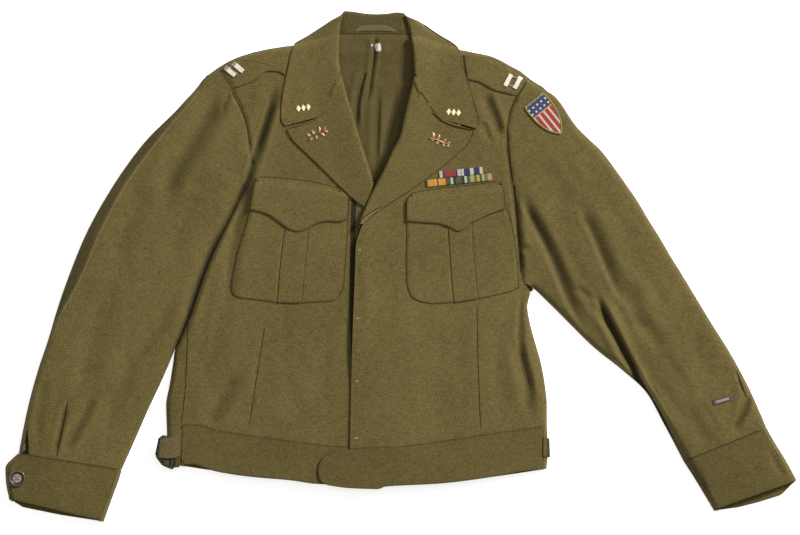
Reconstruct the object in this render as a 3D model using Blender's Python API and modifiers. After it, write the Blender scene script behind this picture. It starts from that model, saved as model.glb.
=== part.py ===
"""Waist-length wool service jacket, laid flat on its back with the front up.

Layout: X runs across the jacket, Y runs towards the collar, Z is up from the surface that it lies on.
The jacket is a hollow, flattened garment. The back and the under sleeves lie flat on the surface and
wrap round the rolled sides; the fronts, top sleeves, cuffs and waistband lie over them with air between.
Pockets, flaps, lapels, collar leaves and trim are made from the height of the panel that they lie on.

Tables give places in layout units: X to the right and Y downward, one unit is UNIT_MM.
"""
import math

import bmesh
import bpy
import numpy as np

# driving sizes, millimetres
UNIT_MM = 1.42          # size of one layout unit; sets the whole garment's size
UNIT_X0 = 400.926       # layout place of the frame's origin, the middle of the garment's plan
UNIT_Y0 = 266.2865
CLOTH = 2.0             # wall of body cloth with its facing
CLOTH_THIN = 1.6        # wall of patch pockets, flaps and straps
LINING = 1.2            # wall of the lining
GAP = 0.3               # clearance between neighbouring pieces
CLEAR = 0.6             # clearance of a piece that lies on a folded panel
COLLAR_CLEAR = 1.0      # clearance of lapels and collar leaves
SHOULDER_GAP = 0.6      # each side of the shoulder seam, up and down
SEAM_GAP = 0.8          # clearance at a seam on a panel
SEAM_GAP_ROLL = 1.1     # further clearance where the seam is on a rolled side
BORDER_GAP = 0.25       # each side of the line where body and sleeve meet
ROLL_WIDE = 9.0         # a rolled side: half width of its curve in plan
ROLL_MID = 5.5          # height of the outermost line of a rolled side
OPEN_STEP = 2.6         # column spacing beside an open armhole
CREST = 13.5            # height of the upper cloth just inside a rolled side
CROWN = 4.5             # further rise towards the middle of a panel
CROWN_REACH = 55.0      # distance over which the crown rises
NECK_LIFT = 2.9         # the back is raised over the turned-under collar
BAND_RISE = 0.9         # waistband and cuffs stand this far above the cloth that they finish
BAND_EASE = 4.0         # height above ROLL_MID over which that rise comes in
CUFF_SEAM = 6.0         # inset of both seams of a cuff
FRONT_LAP = 2.8         # the upper front is raised over the lower one
BAND_LAP = 1.15         # the upper waistband end, as a share of that
LAPEL_RISE = 4.2        # extra height of a lapel at its roll
LAPEL_SOFT = 48.0       # distance from the roll line over which that height is lost
ROLL_OVER = 6.5         # how far the cloth returns under a lapel or collar roll
PLEAT_RISE = 1.1        # box pleat above its pocket
MM = 0.001

# Sides of the body, hem seam to shoulder point: x, y, inset of the side seam in mm, closed (1) or armhole (0)
BODY_SIDE_RIGHT = [
    (166.5, 424, 23, 1), (166, 405, 29, 1), (169.5, 385, 27, 1), (173, 363, 26, 1), (175, 349, 25, 1),
    (183, 330, 14, 1), (190, 312, 6, 1), (200, 282, 6, 1), (213, 250, 6, 1), (226, 225, 6, 1),
    (236, 205, 6, 1), (244, 187, 6, 1), (252, 163, 6, 0.4), (250, 148, 6, 0), (248, 130, 6, 0),
    (242, 110, 6, 0), (233, 92, 6, 0), (225, 80, 6, 0), (218, 68, 6, 0),
]
BODY_SIDE_LEFT = [
    (547, 425, 6, 1), (547, 405, 7, 1), (545, 385, 8, 1), (541, 363, 10, 1), (536, 345, 12, 1),
    (530.5, 325, 8, 1), (527.5, 307, 6, 1), (530, 292, 6, 1), (522, 280, 6, 0.5), (519, 250, 6, 0),
    (516, 222, 6, 0), (513, 198, 6, 0), (510, 172, 6, 0), (507, 150, 6, 0), (507, 132, 6, 0),
    (509, 116, 6, 0), (516, 99, 6, 0), (523, 89, 6, 0), (530, 79.5, 6, 0),
]
# Inner edge of each front, seam with the waistband to neck, a point for each row of the sides
FRONT_EDGE_RIGHT = [
    (388, 446), (388, 427), (388, 405), (388, 380), (388, 362), (388, 342), (388, 322), (388, 292),
    (387, 262), (386, 238), (382, 214), (370, 190), (361.5, 166), (356, 146), (350.5, 126), (344, 104),
    (337, 82), (332.6, 60), (333.6, 37.6),
]
FRONT_EDGE_LEFT = [
    (350, 446.5), (350.4, 427), (350.8, 405), (351.3, 380), (351.8, 360), (352.5, 338), (353.3, 316),
    (354.2, 294), (355, 272), (356, 246), (362, 226), (372, 206), (384, 183), (395.5, 160), (404.5, 139),
    (411, 114), (418.8, 86), (420, 60), (416.6, 38.4),
]
FRONT_HEM_RIGHT = [(166.5, 424), (200, 424), (215, 429), (250, 434.4), (290, 440), (335, 445), (388, 446.8)]
FRONT_HEM_LEFT = [(547, 425), (495, 432), (440, 440.4), (400, 445.4), (350, 446.6)]
# Middle of the back on each row: left and right of the neck have the same y
BACK_MID_Y = [440, 420, 400, 378, 361, 342, 322, 298, 274, 248, 224, 200, 174, 150, 127, 104, 81, 58, 35.5]
BACK_NECK_X = (338.0, 408.0)
SHOULDER_RIGHT = [
    (218, 68), (228, 61.8), (240, 56.5), (255, 52), (270, 48.8), (286, 46.4), (296, 45.6), (312, 42.4),
    (333.6, 37.6),
]
SHOULDER_LEFT = [
    (530, 79.5), (520, 71.2), (510, 66), (500, 60.2), (490, 56), (474, 52.8), (465, 51), (456, 49.4),
    (432, 43.2), (416.6, 38.4),
]

# Sleeves, shoulder to cuff seam: inner x, y, outer x, y, inner seam inset mm, closed inner side (1) or armhole (0),
# outer seam inset mm
SLEEVE_RIGHT = [
    (218, 68, 203, 79.3, 6, 0, 7), (225, 80, 195.5, 89.5, 6, 0, 8), (233, 92, 187, 98.5, 6, 0, 11),
    (242, 110, 174.8, 111.8, 6, 0, 12), (248, 130, 163, 123.2, 6, 0, 13), (250, 148, 150, 136, 6, 0, 16),
    (252, 163, 137, 151.5, 6, 0.4, 17), (244, 187, 118, 178, 6, 1, 17), (236, 205, 107, 195.5, 6, 1, 17),
    (226, 225, 96.5, 213.5, 6, 1, 18), (213, 250, 84.5, 237, 6, 1, 18.5), (200, 282, 72.5, 266, 6, 1, 18.5),
    (190, 312, 62, 294.5, 6, 1, 14), (183, 330, 55.8, 313.5, 6, 1, 8), (175, 349, 48.3, 339, 6, 1, 6),
    (163, 378, 37.5, 371.5, 6, 1, 6), (148, 410, 28.8, 403, 6, 1, 6), (134, 442, 22, 435, 6, 1, 6),
    (121.7, 469.5, 18.8, 453, 6, 1, 6),
]
SLEEVE_LEFT = [
    (530, 79.5, 547, 91.2, 6, 0, 7), (523, 89, 554, 95.5, 6, 0, 7), (516, 99, 561, 103.4, 6, 0, 6),
    (509, 116, 569, 115.8, 6, 0, 6), (507, 132, 577, 127, 6, 0, 6), (507, 150, 589, 139, 6, 0, 6),
    (510, 172, 602, 151.5, 6, 0, 6), (513, 198, 613, 166, 6, 0, 6), (516, 222, 624.5, 182, 6, 0, 6),
    (519, 250, 637.5, 201, 6, 0, 6), (522, 280, 650, 222, 6, 0.5, 6), (533, 288, 659.5, 237, 6, 1, 6),
    (550, 304, 670, 255, 6, 1, 6), (570, 324, 681.5, 273.5, 6, 1, 6), (594, 347.5, 696, 297.5, 6, 1, 6),
    (621, 369, 713, 325.5, 7, 1, 6), (646, 392, 729, 350.8, 12, 1, 6), (664, 424, 750.5, 391, 14, 1, 6),
    (683.5, 461, 766.3, 427.3, 14, 1, 6),
]
# Cuffs, seam to open end: inner x, y, outer x, y; the last row of the under cuff has its own points
CUFF_RIGHT_TOP = [
    (121.62, 469.72, 18.7, 453.24), (119.2, 479, 5.2, 468.5), (114, 493, 5.8, 482), (104, 521, 9, 498.5),
]
CUFF_RIGHT_UNDER = CUFF_RIGHT_TOP[:3] + [(103.6, 521.8, 9.3, 499.2)]
CUFF_LEFT_TOP = [
    (683.6, 461.22, 766.4, 427.52), (692.5, 475, 775.5, 443.5), (702, 490.5, 786, 460.5), (713, 510, 797, 480),
]
CUFF_LEFT_UNDER = CUFF_LEFT_TOP[:3] + [(714, 510.8, 796.6, 480)]
# How far the end of the under cuff shows past the upper one: share of the row from the inner side, units
CUFF_RIGHT_SAG = [(0.25, 2.0), (0.46, 3.7), (0.67, 4.4), (0.86, 5.0)]
CUFF_LEFT_SAG = [(0.31, 6.0), (0.56, 8.4), (0.82, 9.6)]

# Waistband pieces: rows from the seam to the hem, each row from side to front
BAND_RIGHT = [
    [(166.6, 424.8), (200, 424.8), (215, 429.8), (250, 435.2), (290, 440.8), (335, 446), (388, 448.2)],
    [(167, 438), (200, 438), (250, 449.5), (320, 459), (388, 460)],
    [(168.5, 452), (200, 452), (250, 463.5), (320, 472), (388, 473)],
    [(175, 464.8), (194, 464.2), (215, 471), (250, 476.5), (290, 480), (322, 484), (388, 485)],
]
BAND_LEFT = [
    [(547, 425.8), (495, 432.8), (440, 441.2), (400, 446.2), (370, 447.2), (335, 451.2)],
    [(547.5, 436), (470, 447), (400, 456), (350, 458), (322, 458.5)],
    [(548, 448), (470, 460), (400, 468), (350, 470), (318.2, 469.5)],
    [(547.5, 460), (470, 471.5), (400, 478), (350, 480), (319.5, 478.5)],
    [(546.5, 469), (530, 470), (490, 477), (440, 483.3), (385, 486.2), (378, 488.8), (350, 487.8),
     (327, 484.6)],
]
BAND_BACK = [
    [(166.6, 424.8), (338, 440.8), (406, 440.8), (547, 425.8)],
    [(167, 438), (270, 453), (440, 453), (547.5, 436)],
    [(168.5, 452), (270, 466), (440, 466), (548, 452)],
    [(175, 464.8), (215, 471), (290, 480), (350, 484), (440, 482), (546.5, 469)],
]
BAND_SEAM_RIGHT = (23, 22, 19, 14)
BAND_SEAM_LEFT = 6.0

# Lapels: roll x, y, outer x, y, roll present (1) or a flat seam (0)
LAPEL_RIGHT = [
    (341, 73.4, 338.8, 87.4, 1), (343.5, 82, 331, 104.7, 1), (346, 92, 321, 118.9, 1),
    (349.5, 103, 303, 124.9, 1), (353, 114, 287.3, 129.6, 1), (357, 128, 292, 139, 1),
    (361, 142, 307, 153.8, 1), (366, 157, 325, 171.2, 1), (370, 170, 341, 187.4, 1),
    (372.5, 178.5, 355.5, 200.8, 1), (373.4, 185.5, 364.6, 207, 0),
]
LAPEL_LEFT = [
    (413.7, 76.4, 415.2, 88.4, 1), (412.2, 84, 425.6, 106.4, 1), (410, 92, 439.8, 122.6, 1),
    (408, 100, 457, 127.2, 1), (405.5, 110, 473, 130.9, 1), (402.5, 124, 470.3, 140, 1),
    (399.5, 137, 455, 156.2, 1), (392, 151, 437, 170.8, 1), (385, 167, 417, 185.6, 1),
    (377.5, 181.5, 397, 199, 1), (370, 196, 381, 209.2, 1), (364, 210, 371.5, 216.4, 1),
    (358.6, 224, 364.2, 224.6, 1),
]
# Collar leaves, notch to the top of the neck: inner x, y, outer x, y, roll present
LEAF_RIGHT = [
    (319.5, 116.2, 285.5, 126.2, 0), (329.4, 103, 281.3, 118, 0), (334.1, 94, 282, 105, 0),
    (337.5, 85.8, 283.4, 92.5, 0), (340.5, 70.8, 285.6, 80, 1), (339, 60, 288, 69.5, 1),
    (339, 48, 290.4, 58, 1), (339.2, 40, 292.2, 51, 1), (339.4, 36.5, 293.3, 47.8, 1),
    (339.5, 33, 294, 43.9, 1), (341, 23, 308, 35.2, 1), (343.6, 14, 331, 20.2, 1),
]
LEAF_LEFT = [
    (440.6, 118.2, 476.5, 128.8, 0), (427.6, 104.2, 478.5, 119.5, 0), (421.8, 95.6, 475, 107, 0),
    (416.8, 86.7, 471, 94, 0), (414, 73, 467, 80.5, 1), (413.6, 62, 463, 68, 1),
    (412.6, 50, 460.6, 59, 1), (411.4, 41, 459.4, 53, 1), (410.7, 37, 458.2, 49.8, 1),
    (410, 33, 457, 46.5, 1), (407.2, 23, 437, 33.8, 1), (404.4, 15.6, 419, 21, 1),
]
NECK_TOP = [(345, 10.8), (354, 11.6), (365, 13.3), (376, 14), (387, 13.5), (396, 12.2), (403, 12.6)]
NECK_SEAM_Y = 34.0
NECK_MIDDLE = 376.0
NECK_SPAN = (287.0, 463.0)      # where the collar stands past the shoulder line
NECK_LOW = 280.0                # millimetres above the frame's origin
UNDER_COLLAR_Y = 46.0

# Pockets and flaps, rows from top to bottom
POCKET_RIGHT = [
    [(250, 208), (300, 208), (348.5, 207)],
    [(245, 228), (300, 228), (347.8, 228)],
    [(240, 243), (300, 243), (346.8, 243)],
    [(235.5, 260), (300, 260), (345.6, 260)],
    [(232.4, 276), (300, 276), (344.4, 276)],
    [(231, 287), (300, 289), (343, 288)],
    [(233.2, 294.5), (300, 297.5), (339, 296.5)],
    [(240, 297.6), (277, 302.8), (300, 303.4), (334, 301)],
]
POCKET_LEFT = [
    [(407, 208), (455, 208), (505, 205)],
    [(406.8, 228), (455, 228), (512, 225)],
    [(406.5, 246), (455, 246), (515, 243)],
    [(406.2, 262), (455, 262), (517, 259)],
    [(406.4, 277), (455, 277), (518.4, 273)],
    [(408, 289), (455, 289), (518.8, 285)],
    [(411.5, 296.5), (455, 298.5), (516, 289.4)],
    [(419, 301.3), (432, 304), (455, 302.6), (480, 298.8), (505, 292.6)],
]
FLAP_RIGHT_TOP = [(257.2, 177.2), (270, 177.2), (290, 179), (310, 181.5), (328, 185.6), (341, 189.6)]
FLAP_RIGHT_MID = [(253.6, 190), (300, 193.5), (349, 200.5)]
FLAP_RIGHT_END = [
    (250, 209.5), (262, 212), (270, 215.4), (280, 222.4), (291, 230), (299, 231.6), (307, 229), (316, 224),
    (328, 221), (338, 221.8), (348, 218.6),
]
FLAP_LEFT_TOP = [(411, 193.6), (430, 189.6), (450, 187.4), (475, 184.6), (499.5, 181.6)]
FLAP_LEFT_MID = [(406.8, 204), (455, 201), (504, 192)]
FLAP_LEFT_END = [
    (407, 221), (425, 222.5), (438, 223.4), (449, 227), (458, 231.3), (464, 229.4), (471, 223.6), (482, 217.8),
    (493, 213), (505, 209),
]
# Box pleats: left fold x, y, right fold x, y
PLEAT_RIGHT = [(285.5, 226, 308, 226), (281, 262, 304.5, 262), (277.5, 303, 300.5, 303)]
PLEAT_LEFT = [(448, 226, 471, 226), (450.5, 262, 473, 262), (454, 303, 478, 303)]

# Shoulder loops, sleeve seam to collar: upper x, y, lower x, y
LOOP_RIGHT = [
    (219.6, 70.4, 232.4, 89.2), (229.5, 63, 241, 86.4), (239, 59.2, 251, 82.6), (252, 60.2, 260, 77.4),
    (264, 63, 268.5, 71.4), (275, 66.4, 276.6, 71.6), (286.4, 70, 286, 75.6),
]
LOOP_LEFT = [
    (528, 79.8, 516.6, 96.6), (517.5, 71.6, 507, 93.4), (505, 65, 496.5, 91.2), (494.5, 59.4, 487, 86.4),
    (484, 57, 479, 82.2), (472.5, 55.6, 471, 80.2), (464, 54.4, 467.6, 79.6),
]
LINING_ROWS = [
    [(339, 37), (376, 37), (407, 37)], [(332, 60), (374, 60), (420, 60)], [(334, 85), (372, 85), (420, 85)],
    [(342, 110), (371, 110), (414, 110)], [(350, 135), (372, 135), (408, 135)],
    [(357, 160), (374, 160), (398, 160)],
    [(364, 185), (376, 185), (388, 185)],
]

# Soft troughs (+) and ridges (-): points, half width to each side of the line in mm, depth in mm
FOLDS = [
    # body
    ([(276, 82), (275, 95), (268, 118), (261, 138), (254, 158)], 6, 11, 3.4),
    ([(240, 372), (226, 396), (208, 428)], 9, 14, 2.6),
    ([(265, 322), (257, 366), (250, 424)], 1.8, 1.8, 0.9),
    ([(477, 302), (476, 360), (480, 425)], 1.8, 1.8, 0.9),
    ([(516, 338), (521, 362), (528, 392), (530, 420)], 6, 7, 3.0),
    ([(485, 92), (495, 117), (503, 140)], 5, 8, 2.6),
    ([(482, 121), (491, 142)], 4, 6, 1.6),
    ([(330, 320), (322, 370), (326, 415)], 14, 18, 1.6),
    ([(300, 340), (292, 390), (298, 425)], 12, 12, 1.3),
    ([(400, 330), (404, 370), (398, 420)], 14, 20, 1.5),
    ([(440, 330), (438, 380), (444, 420)], 12, 16, 1.4),
    ([(505, 318), (498, 360), (503, 410)], 10, 14, 1.8),
    ([(222, 300), (214, 350), (205, 400)], 12, 14, 2.0),
    ([(246, 170), (243, 200), (232, 240)], 8, 12, 1.8),
    # sleeve at the wearer's right
    ([(220, 92), (214, 112), (203, 130), (192, 150), (176, 176), (166, 208)], 12, 16, 3.4),
    ([(231, 93), (227, 101), (222, 112)], 3, 4, 1.6),
    ([(205, 190), (185, 225), (172, 262)], 10, 14, 1.7),
    ([(150, 190), (128, 228), (112, 262)], 12, 16, 2.0),
    ([(178, 300), (160, 330), (140, 365)], 8, 14, 2.0),
    ([(110, 300), (92, 345), (84, 392)], 14, 16, 2.3),
    ([(140, 350), (120, 390), (108, 440)], 10, 12, 1.8),
    ([(96, 393), (84, 420), (64, 454)], 5, 7, 2.0),
    ([(68, 404), (62, 428), (55, 455)], 2.5, 4, 2.2),
    ([(27, 428), (26.5, 455)], 2.0, 2.5, 1.6),
    ([(45, 372), (40, 410), (36, 440)], 7, 8, 1.5),
    # sleeve at the wearer's left
    ([(521, 195), (532, 214), (545, 237), (557, 262), (570, 290), (584, 318)], 6, 10, 4.2),
    ([(585, 221), (594, 239), (604, 257), (614, 276)], 7, 10, 2.6),
    ([(600, 298), (608, 318), (616, 333), (626, 352), (638, 370)], 6, 5, 5.0),
    ([(575, 287), (592, 299)], 4, 5, 1.5),
    ([(622, 280), (634, 305), (642, 332)], 10, 14, 2.2),
    ([(640, 318), (652, 333), (664, 350)], 8, 10, 1.8),
    ([(545, 160), (556, 186), (572, 208)], 14, 18, 1.8),
    ([(522, 246), (529, 251)], 4, 4, 1.8),
    ([(690, 330), (702, 356), (712, 384)], 12, 16, 1.8),
    ([(752, 394), (744, 412), (734, 432)], 4, 6, 2.2),
    ([(680, 400), (700, 430), (716, 448)], 10, 12, 1.6),
    ([(736, 370), (741, 386), (746, 398)], 1.8, 2.2, 1.2),
]
SEAM_GROOVES = [
    ([(233, 92), (242, 110), (248, 130), (250, 148), (252, 163)], 3.0, 1.1),
    ([(516, 99), (509, 116), (507, 132), (507, 150), (510, 172), (513, 198), (516, 222), (519, 250), (522, 280)],
     3.5, 1.6),
]
LINING_FOLDS = [
    ([(376, 34), (374.6, 55), (371.5, 78), (369, 100)], 2.2, 3.5, 1.6),
    ([(367, 70), (361, 86), (357.5, 106), (357, 128)], 2.5, 5, 1.8),
    ([(378, 90), (377, 130), (376, 165)], 3, 5, 1.1),
    ([(396, 90), (390, 130), (382, 160)], 4, 6, 1.0),
]

# Trim: places in layout units, sizes in mm, angles in degrees from X
RANK_BAR = (17.5, 5.6)
RANK_BARS = [
    ("rank_bar_right_a", 230.4, 71.8, -40), ("rank_bar_right_b", 238.4, 67.8, -40),
    ("rank_bar_left_a", 508, 80.5, 62), ("rank_bar_left_b", 517.5, 83, 62),
]
RIBBON_TALL = 9.8
RIBBON_BARS = [("ribbon_bar_upper", 460.8, 172.7, 62, 5.6), ("ribbon_bar_lower", 458.7, 180.4, 94, 6)]
LOZENGES = (0.12, 1.0, 0.25, 1.0, 0.25, 1.0, 0.12)
SPRIG = (0.1, 0.85, 0.4, 1.0, 0.4, 0.75, 0.1)
SHIELD_OUTLINE = [(0, 0.94), (0.12, 1.0), (0.4, 0.98), (0.62, 0.84), (0.8, 0.58), (0.92, 0.3), (1.0, 0.05)]
PATCH_ANGLE = 39.0
BUTTON_RADIUS = 11.5
BUTTON_PROFILE = [(0.82, 0.0), (1.0, 0.9), (1.0, 2.3), (0.92, 3.0), (0.8, 2.9), (0.66, 2.1)]
BUCKLE_Z = 16.8
BUCKLE_BAR = 1.1

# Colours of the plain materials, linear
COLOURS = {
    "wool": (0.135, 0.108, 0.042), "lining": (0.095, 0.070, 0.028), "loop": (0.150, 0.118, 0.055),
    "silver": (0.62, 0.58, 0.50), "gold": (0.66, 0.47, 0.14), "copper": (0.42, 0.20, 0.09),
    "ribbon": (0.55, 0.25, 0.06), "patch": (0.50, 0.05, 0.04), "horn": (0.055, 0.035, 0.025),
    "dark_metal": (0.07, 0.055, 0.045), "label": (0.72, 0.70, 0.62), "braid": (0.12, 0.11, 0.10),
}


# plan geometry
def place(points):
    """Layout units to millimetres, X right and Y up."""
    a = np.asarray(points, float)
    return np.stack([(a[..., 0] - UNIT_X0) * UNIT_MM, (UNIT_Y0 - a[..., 1]) * UNIT_MM], axis=-1)


def spread(line, count):
    """A polyline as `count` points at even distances."""
    line = np.asarray(line, float)
    step = np.linalg.norm(np.diff(line, axis=0), axis=1)
    at = np.concatenate([[0], np.cumsum(step)])
    want = np.linspace(0, at[-1], count)
    return np.stack([np.interp(want, at, line[:, k]) for k in range(line.shape[1])], axis=1)


def between(rows, where):
    """Rows of values at fractional row numbers."""
    rows = np.asarray(rows, float)
    where = np.clip(np.asarray(where, float), 0, len(rows) - 1)
    low = np.minimum(where.astype(int), len(rows) - 2)
    part = (where - low).reshape((-1,) + (1,) * (rows.ndim - 1))
    return rows[low] * (1 - part) + rows[low + 1] * part


def along(line, distance):
    """Points of a polyline at distances from its first point."""
    step = np.linalg.norm(np.diff(line, axis=0), axis=1)
    at = np.concatenate([[0], np.cumsum(step)])
    distance = np.asarray(distance, float)
    out = np.stack([np.interp(distance, at, line[:, k]) for k in range(2)], axis=1)
    first = (line[1] - line[0]) / max(step[0], 1e-9)
    before = distance < 0
    out[before] = line[0] + first * distance[before, None]
    return out


def length(line):
    return float(np.linalg.norm(np.diff(line, axis=0), axis=1).sum())


def distance_to(xy, line, want_share=False):
    """Distance to a polyline; also its side (+ left of travel) and the share of the length at the nearest point."""
    flat = xy.reshape(-1, 2)
    best = np.full(len(flat), 1e9)
    side = np.zeros(len(flat))
    share = np.zeros(len(flat))
    total = length(line)
    gone = 0.0
    for a, b in zip(line[:-1], line[1:]):
        d = b - a
        size = max(float(d @ d), 1e-12)
        t = np.clip(((flat - a) @ d) / size, 0, 1)
        off = flat - (a + t[:, None] * d)
        dist = np.linalg.norm(off, axis=1)
        near = dist < best
        best[near] = dist[near]
        side[near] = np.sign(d[0] * off[near, 1] - d[1] * off[near, 0])
        share[near] = (gone + t[near] * math.sqrt(size)) / max(total, 1e-9)
        gone += math.sqrt(size)
    shape = xy.shape[:-1]
    if want_share:
        return best.reshape(shape), side.reshape(shape), share.reshape(shape)
    return best.reshape(shape)


def seam_gap(inset):
    """Clearance at a lengthwise seam, wider where it nears the rolled side and the walls lean."""
    return SEAM_GAP + SEAM_GAP_ROLL * np.exp(-(np.asarray(inset, float) / ROLL_WIDE) ** 2) + BORDER_GAP


def ease(t):
    t = np.clip(t, 0, 1)
    return t * t * (3 - 2 * t)


# heights
def rolled_edges():
    """Every plan line where cloth turns over a side or a shoulder."""
    right = [r[:2] for r in BODY_SIDE_RIGHT[:12]]
    left = [r[:2] for r in BODY_SIDE_LEFT[:8]]
    lines = [
        [(175, 466)] + [(168.5, 452), (167, 438)] + right,
        [(546.5, 470), (548, 448)] + left,
        SHOULDER_RIGHT,
        SHOULDER_LEFT,
        [SLEEVE_RIGHT[0][:2]] + [(r[2], r[3]) for r in SLEEVE_RIGHT] + [(r[2], r[3]) for r in CUFF_RIGHT_TOP],
        [(r[0], r[1]) for r in SLEEVE_RIGHT[7:]] + [(r[0], r[1]) for r in CUFF_RIGHT_TOP],
        [SLEEVE_LEFT[0][:2]] + [(r[2], r[3]) for r in SLEEVE_LEFT] + [(r[2], r[3]) for r in CUFF_LEFT_TOP],
        [(r[0], r[1]) for r in SLEEVE_LEFT[11:]] + [(r[0], r[1]) for r in CUFF_LEFT_TOP],
    ]
    return [place(line) for line in lines]


EDGES = rolled_edges()
SHOULDERS = [place([SLEEVE_RIGHT[0][2:4]] + SHOULDER_RIGHT), place([SLEEVE_LEFT[0][2:4]] + SHOULDER_LEFT)]


def fold_sum(xy, folds):
    total = np.zeros(xy.shape[:-1])
    for points, wide_left, wide_right, depth in folds:
        line = place(points)
        dist, side, share = distance_to(xy, line, True)
        wide = np.where(side >= 0, wide_left, wide_right)
        shape = np.exp(-(dist / wide) ** 2) - 0.35 * np.exp(-((dist - 2.1 * wide) / wide) ** 2)
        ends = ease(share / 0.22) * ease((1 - share) / 0.22)
        total -= depth * shape * (0.12 + 0.88 * ends)
    return total


def height(xy, rise=0.0, outset=0.0):
    """Height of the upper cloth's outer face.

    rise: offset of a layer that lies on it. outset: how far that layer reaches past a rolled edge.
    """
    d = np.full(xy.shape[:-1], 1e9)
    for line in EDGES:
        d = np.minimum(d, distance_to(xy, line))
    x = xy[..., 0] / UNIT_MM + UNIT_X0
    for line, outer in zip(SHOULDERS, (1, -1)):
        off, side, _ = distance_to(xy, line, True)
        near_neck = (x > NECK_SPAN[0]) & (x < NECK_SPAN[1]) & (xy[..., 1] > NECK_LOW)
        past = near_neck & (side * outer > 0) & (outer * (NECK_MIDDLE - x) > 0)
        d = np.where(past, -off, d)
    top = CREST + CROWN * (1 - np.exp(-d / CROWN_REACH)) + fold_sum(xy, FOLDS)
    for points, wide, depth in SEAM_GROOVES:
        top = top - depth * np.exp(-(distance_to(xy, place(points)) / wide) ** 2)
    top = np.maximum(top, 9.5) + rise
    reach = max(rise, outset)
    inset = np.clip((d + reach) / (ROLL_WIDE + reach), 0, 1)
    return ROLL_MID + (top - ROLL_MID) * np.sqrt(np.clip(1 - (1 - inset) ** 2, 0, 1))


def lapped(xy):
    """Extra height of the upper front over the lower one."""
    x = xy[..., 0] / UNIT_MM + UNIT_X0
    return FRONT_LAP * (1 - ease((x - 392) / 60))


def neck_lift(xy):
    """Height of the back where the collar is turned under it."""
    x = xy[..., 0] / UNIT_MM + UNIT_X0
    y = UNIT_Y0 - xy[..., 1] / UNIT_MM
    across = ease((x - 318) / 18) * ease((430 - x) / 18)
    return NECK_LIFT * across * ease((66 - y) / 16)


def upper_front(xy):
    return height(xy) + lapped(xy)


def band_top(xy):
    z = height(xy)
    return z + BAND_RISE * np.minimum(1, (z - ROLL_MID) / BAND_EASE)


def on_surface(xy):
    return np.zeros(xy.shape[:-1])


def underside(xy):
    """Height of the back's lower face: on the surface, turned up at the shoulders."""
    d = np.minimum(distance_to(xy, SHOULDERS[0]), distance_to(xy, SHOULDERS[1]))
    inset = np.clip(d / ROLL_WIDE, 0, 1)
    turned = (ROLL_MID - SHOULDER_GAP) * (1 - np.sqrt(np.clip(1 - (1 - inset) ** 2, 0, 1)))
    return np.maximum(neck_lift(xy), turned)


# building blocks
def clear_scene():
    for obj in list(bpy.data.objects):
        bpy.data.objects.remove(obj, do_unlink=True)
    for coll in list(bpy.data.collections):
        bpy.data.collections.remove(coll)


clear_scene()
JACKET = bpy.data.collections.new("service_jacket")
bpy.context.scene.collection.children.link(JACKET)


def material(name, colour, metal=0.0, rough=0.85):
    mat = bpy.data.materials.new(name)
    mat.use_nodes = True
    shader = mat.node_tree.nodes["Principled BSDF"]
    shader.inputs["Base Color"].default_value = (*colour, 1.0)
    shader.inputs["Metallic"].default_value = metal
    shader.inputs["Roughness"].default_value = rough
    mat.diffuse_color = (*colour, 1.0)
    return mat


def add_object(name, mesh, slot, metal=0.0, rough=0.85):
    obj = bpy.data.objects.new(name, mesh)
    JACKET.objects.link(obj)
    obj.data.materials.append(material(f"{name}_{slot}", COLOURS[slot], metal, rough))
    return obj


def apply_modifiers(obj):
    graph = bpy.context.evaluated_depsgraph_get()
    mesh = bpy.data.meshes.new_from_object(obj.evaluated_get(graph))
    old = obj.data
    obj.modifiers.clear()
    obj.data = mesh
    bpy.data.meshes.remove(old)
    return obj


def grid_mesh(name, points, up=True):
    """Open grid of quads; `up` puts its normals upward."""
    rows, cols = points.shape[:2]
    verts = [tuple(float(v) * MM for v in p) for p in points.reshape(-1, 3)]
    faces = []
    for r in range(rows - 1):
        for c in range(cols - 1):
            a = r * cols + c
            faces.append((a, a + 1, a + cols + 1, a + cols))
    mesh = bpy.data.meshes.new(name)
    mesh.from_pydata(verts, [], faces)
    mesh.update()
    r, c = (rows - 1) // 2, (cols - 1) // 2
    turn = np.cross(points[r, c + 1] - points[r, c], points[r + 1, c] - points[r, c])[2]
    if (turn > 0) != up:
        mesh.flip_normals()
    return mesh


def cloth(name, points, wall, slot="wool", up=True, metal=0.0, rough=0.85, smooth=True):
    """A sheet of the given wall, its given points on the outer face."""
    obj = add_object(name, grid_mesh(name, points, up), slot, metal, rough)
    mod = obj.modifiers.new("wall", "SOLIDIFY")
    mod.thickness = wall * MM
    mod.offset = -1.0
    mod.use_even_offset = False
    mod.use_rim = True
    apply_modifiers(obj)
    for poly in obj.data.polygons:
        poly.use_smooth = smooth
    return obj


def with_height(xy, z):
    return np.concatenate([xy, z[..., None]], axis=-1)


def side_of_roll(line, inset, closed):
    """The end of an under sheet at the start of a row: XY and a code for its height.

    Closed: from the seam on top, round the rolled side, to the surface. Open: flat to the end.
    Gives points and, for each, the share of the upper height and the height on the lower curve.
    """
    ring_s = np.array([inset, max(inset * 0.7, inset - 4), min(inset * 0.35, 2.6), 0.0, 1.7, 4.6, ROLL_WIDE])
    upper = np.array([1, 1, 1, 0, 0, 0, 0])
    flat_s = BORDER_GAP + OPEN_STEP * np.arange(len(ring_s))
    curve = np.clip(ring_s / ROLL_WIDE, 0, 1)
    low = ROLL_MID * (1 - np.sqrt(np.clip(1 - (1 - curve) ** 2, 0, 1)))
    ring_xy = along(line, ring_s + BORDER_GAP)
    flat_xy = along(line, flat_s)
    high = height(ring_xy)
    ring_z = np.where(upper == 1, high, low)
    ring_z[3] = ROLL_MID
    xy = closed * ring_xy + (1 - closed) * flat_xy
    return xy, closed * ring_z, float(ring_s[-1] * closed + flat_s[-1] * (1 - closed))


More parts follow.
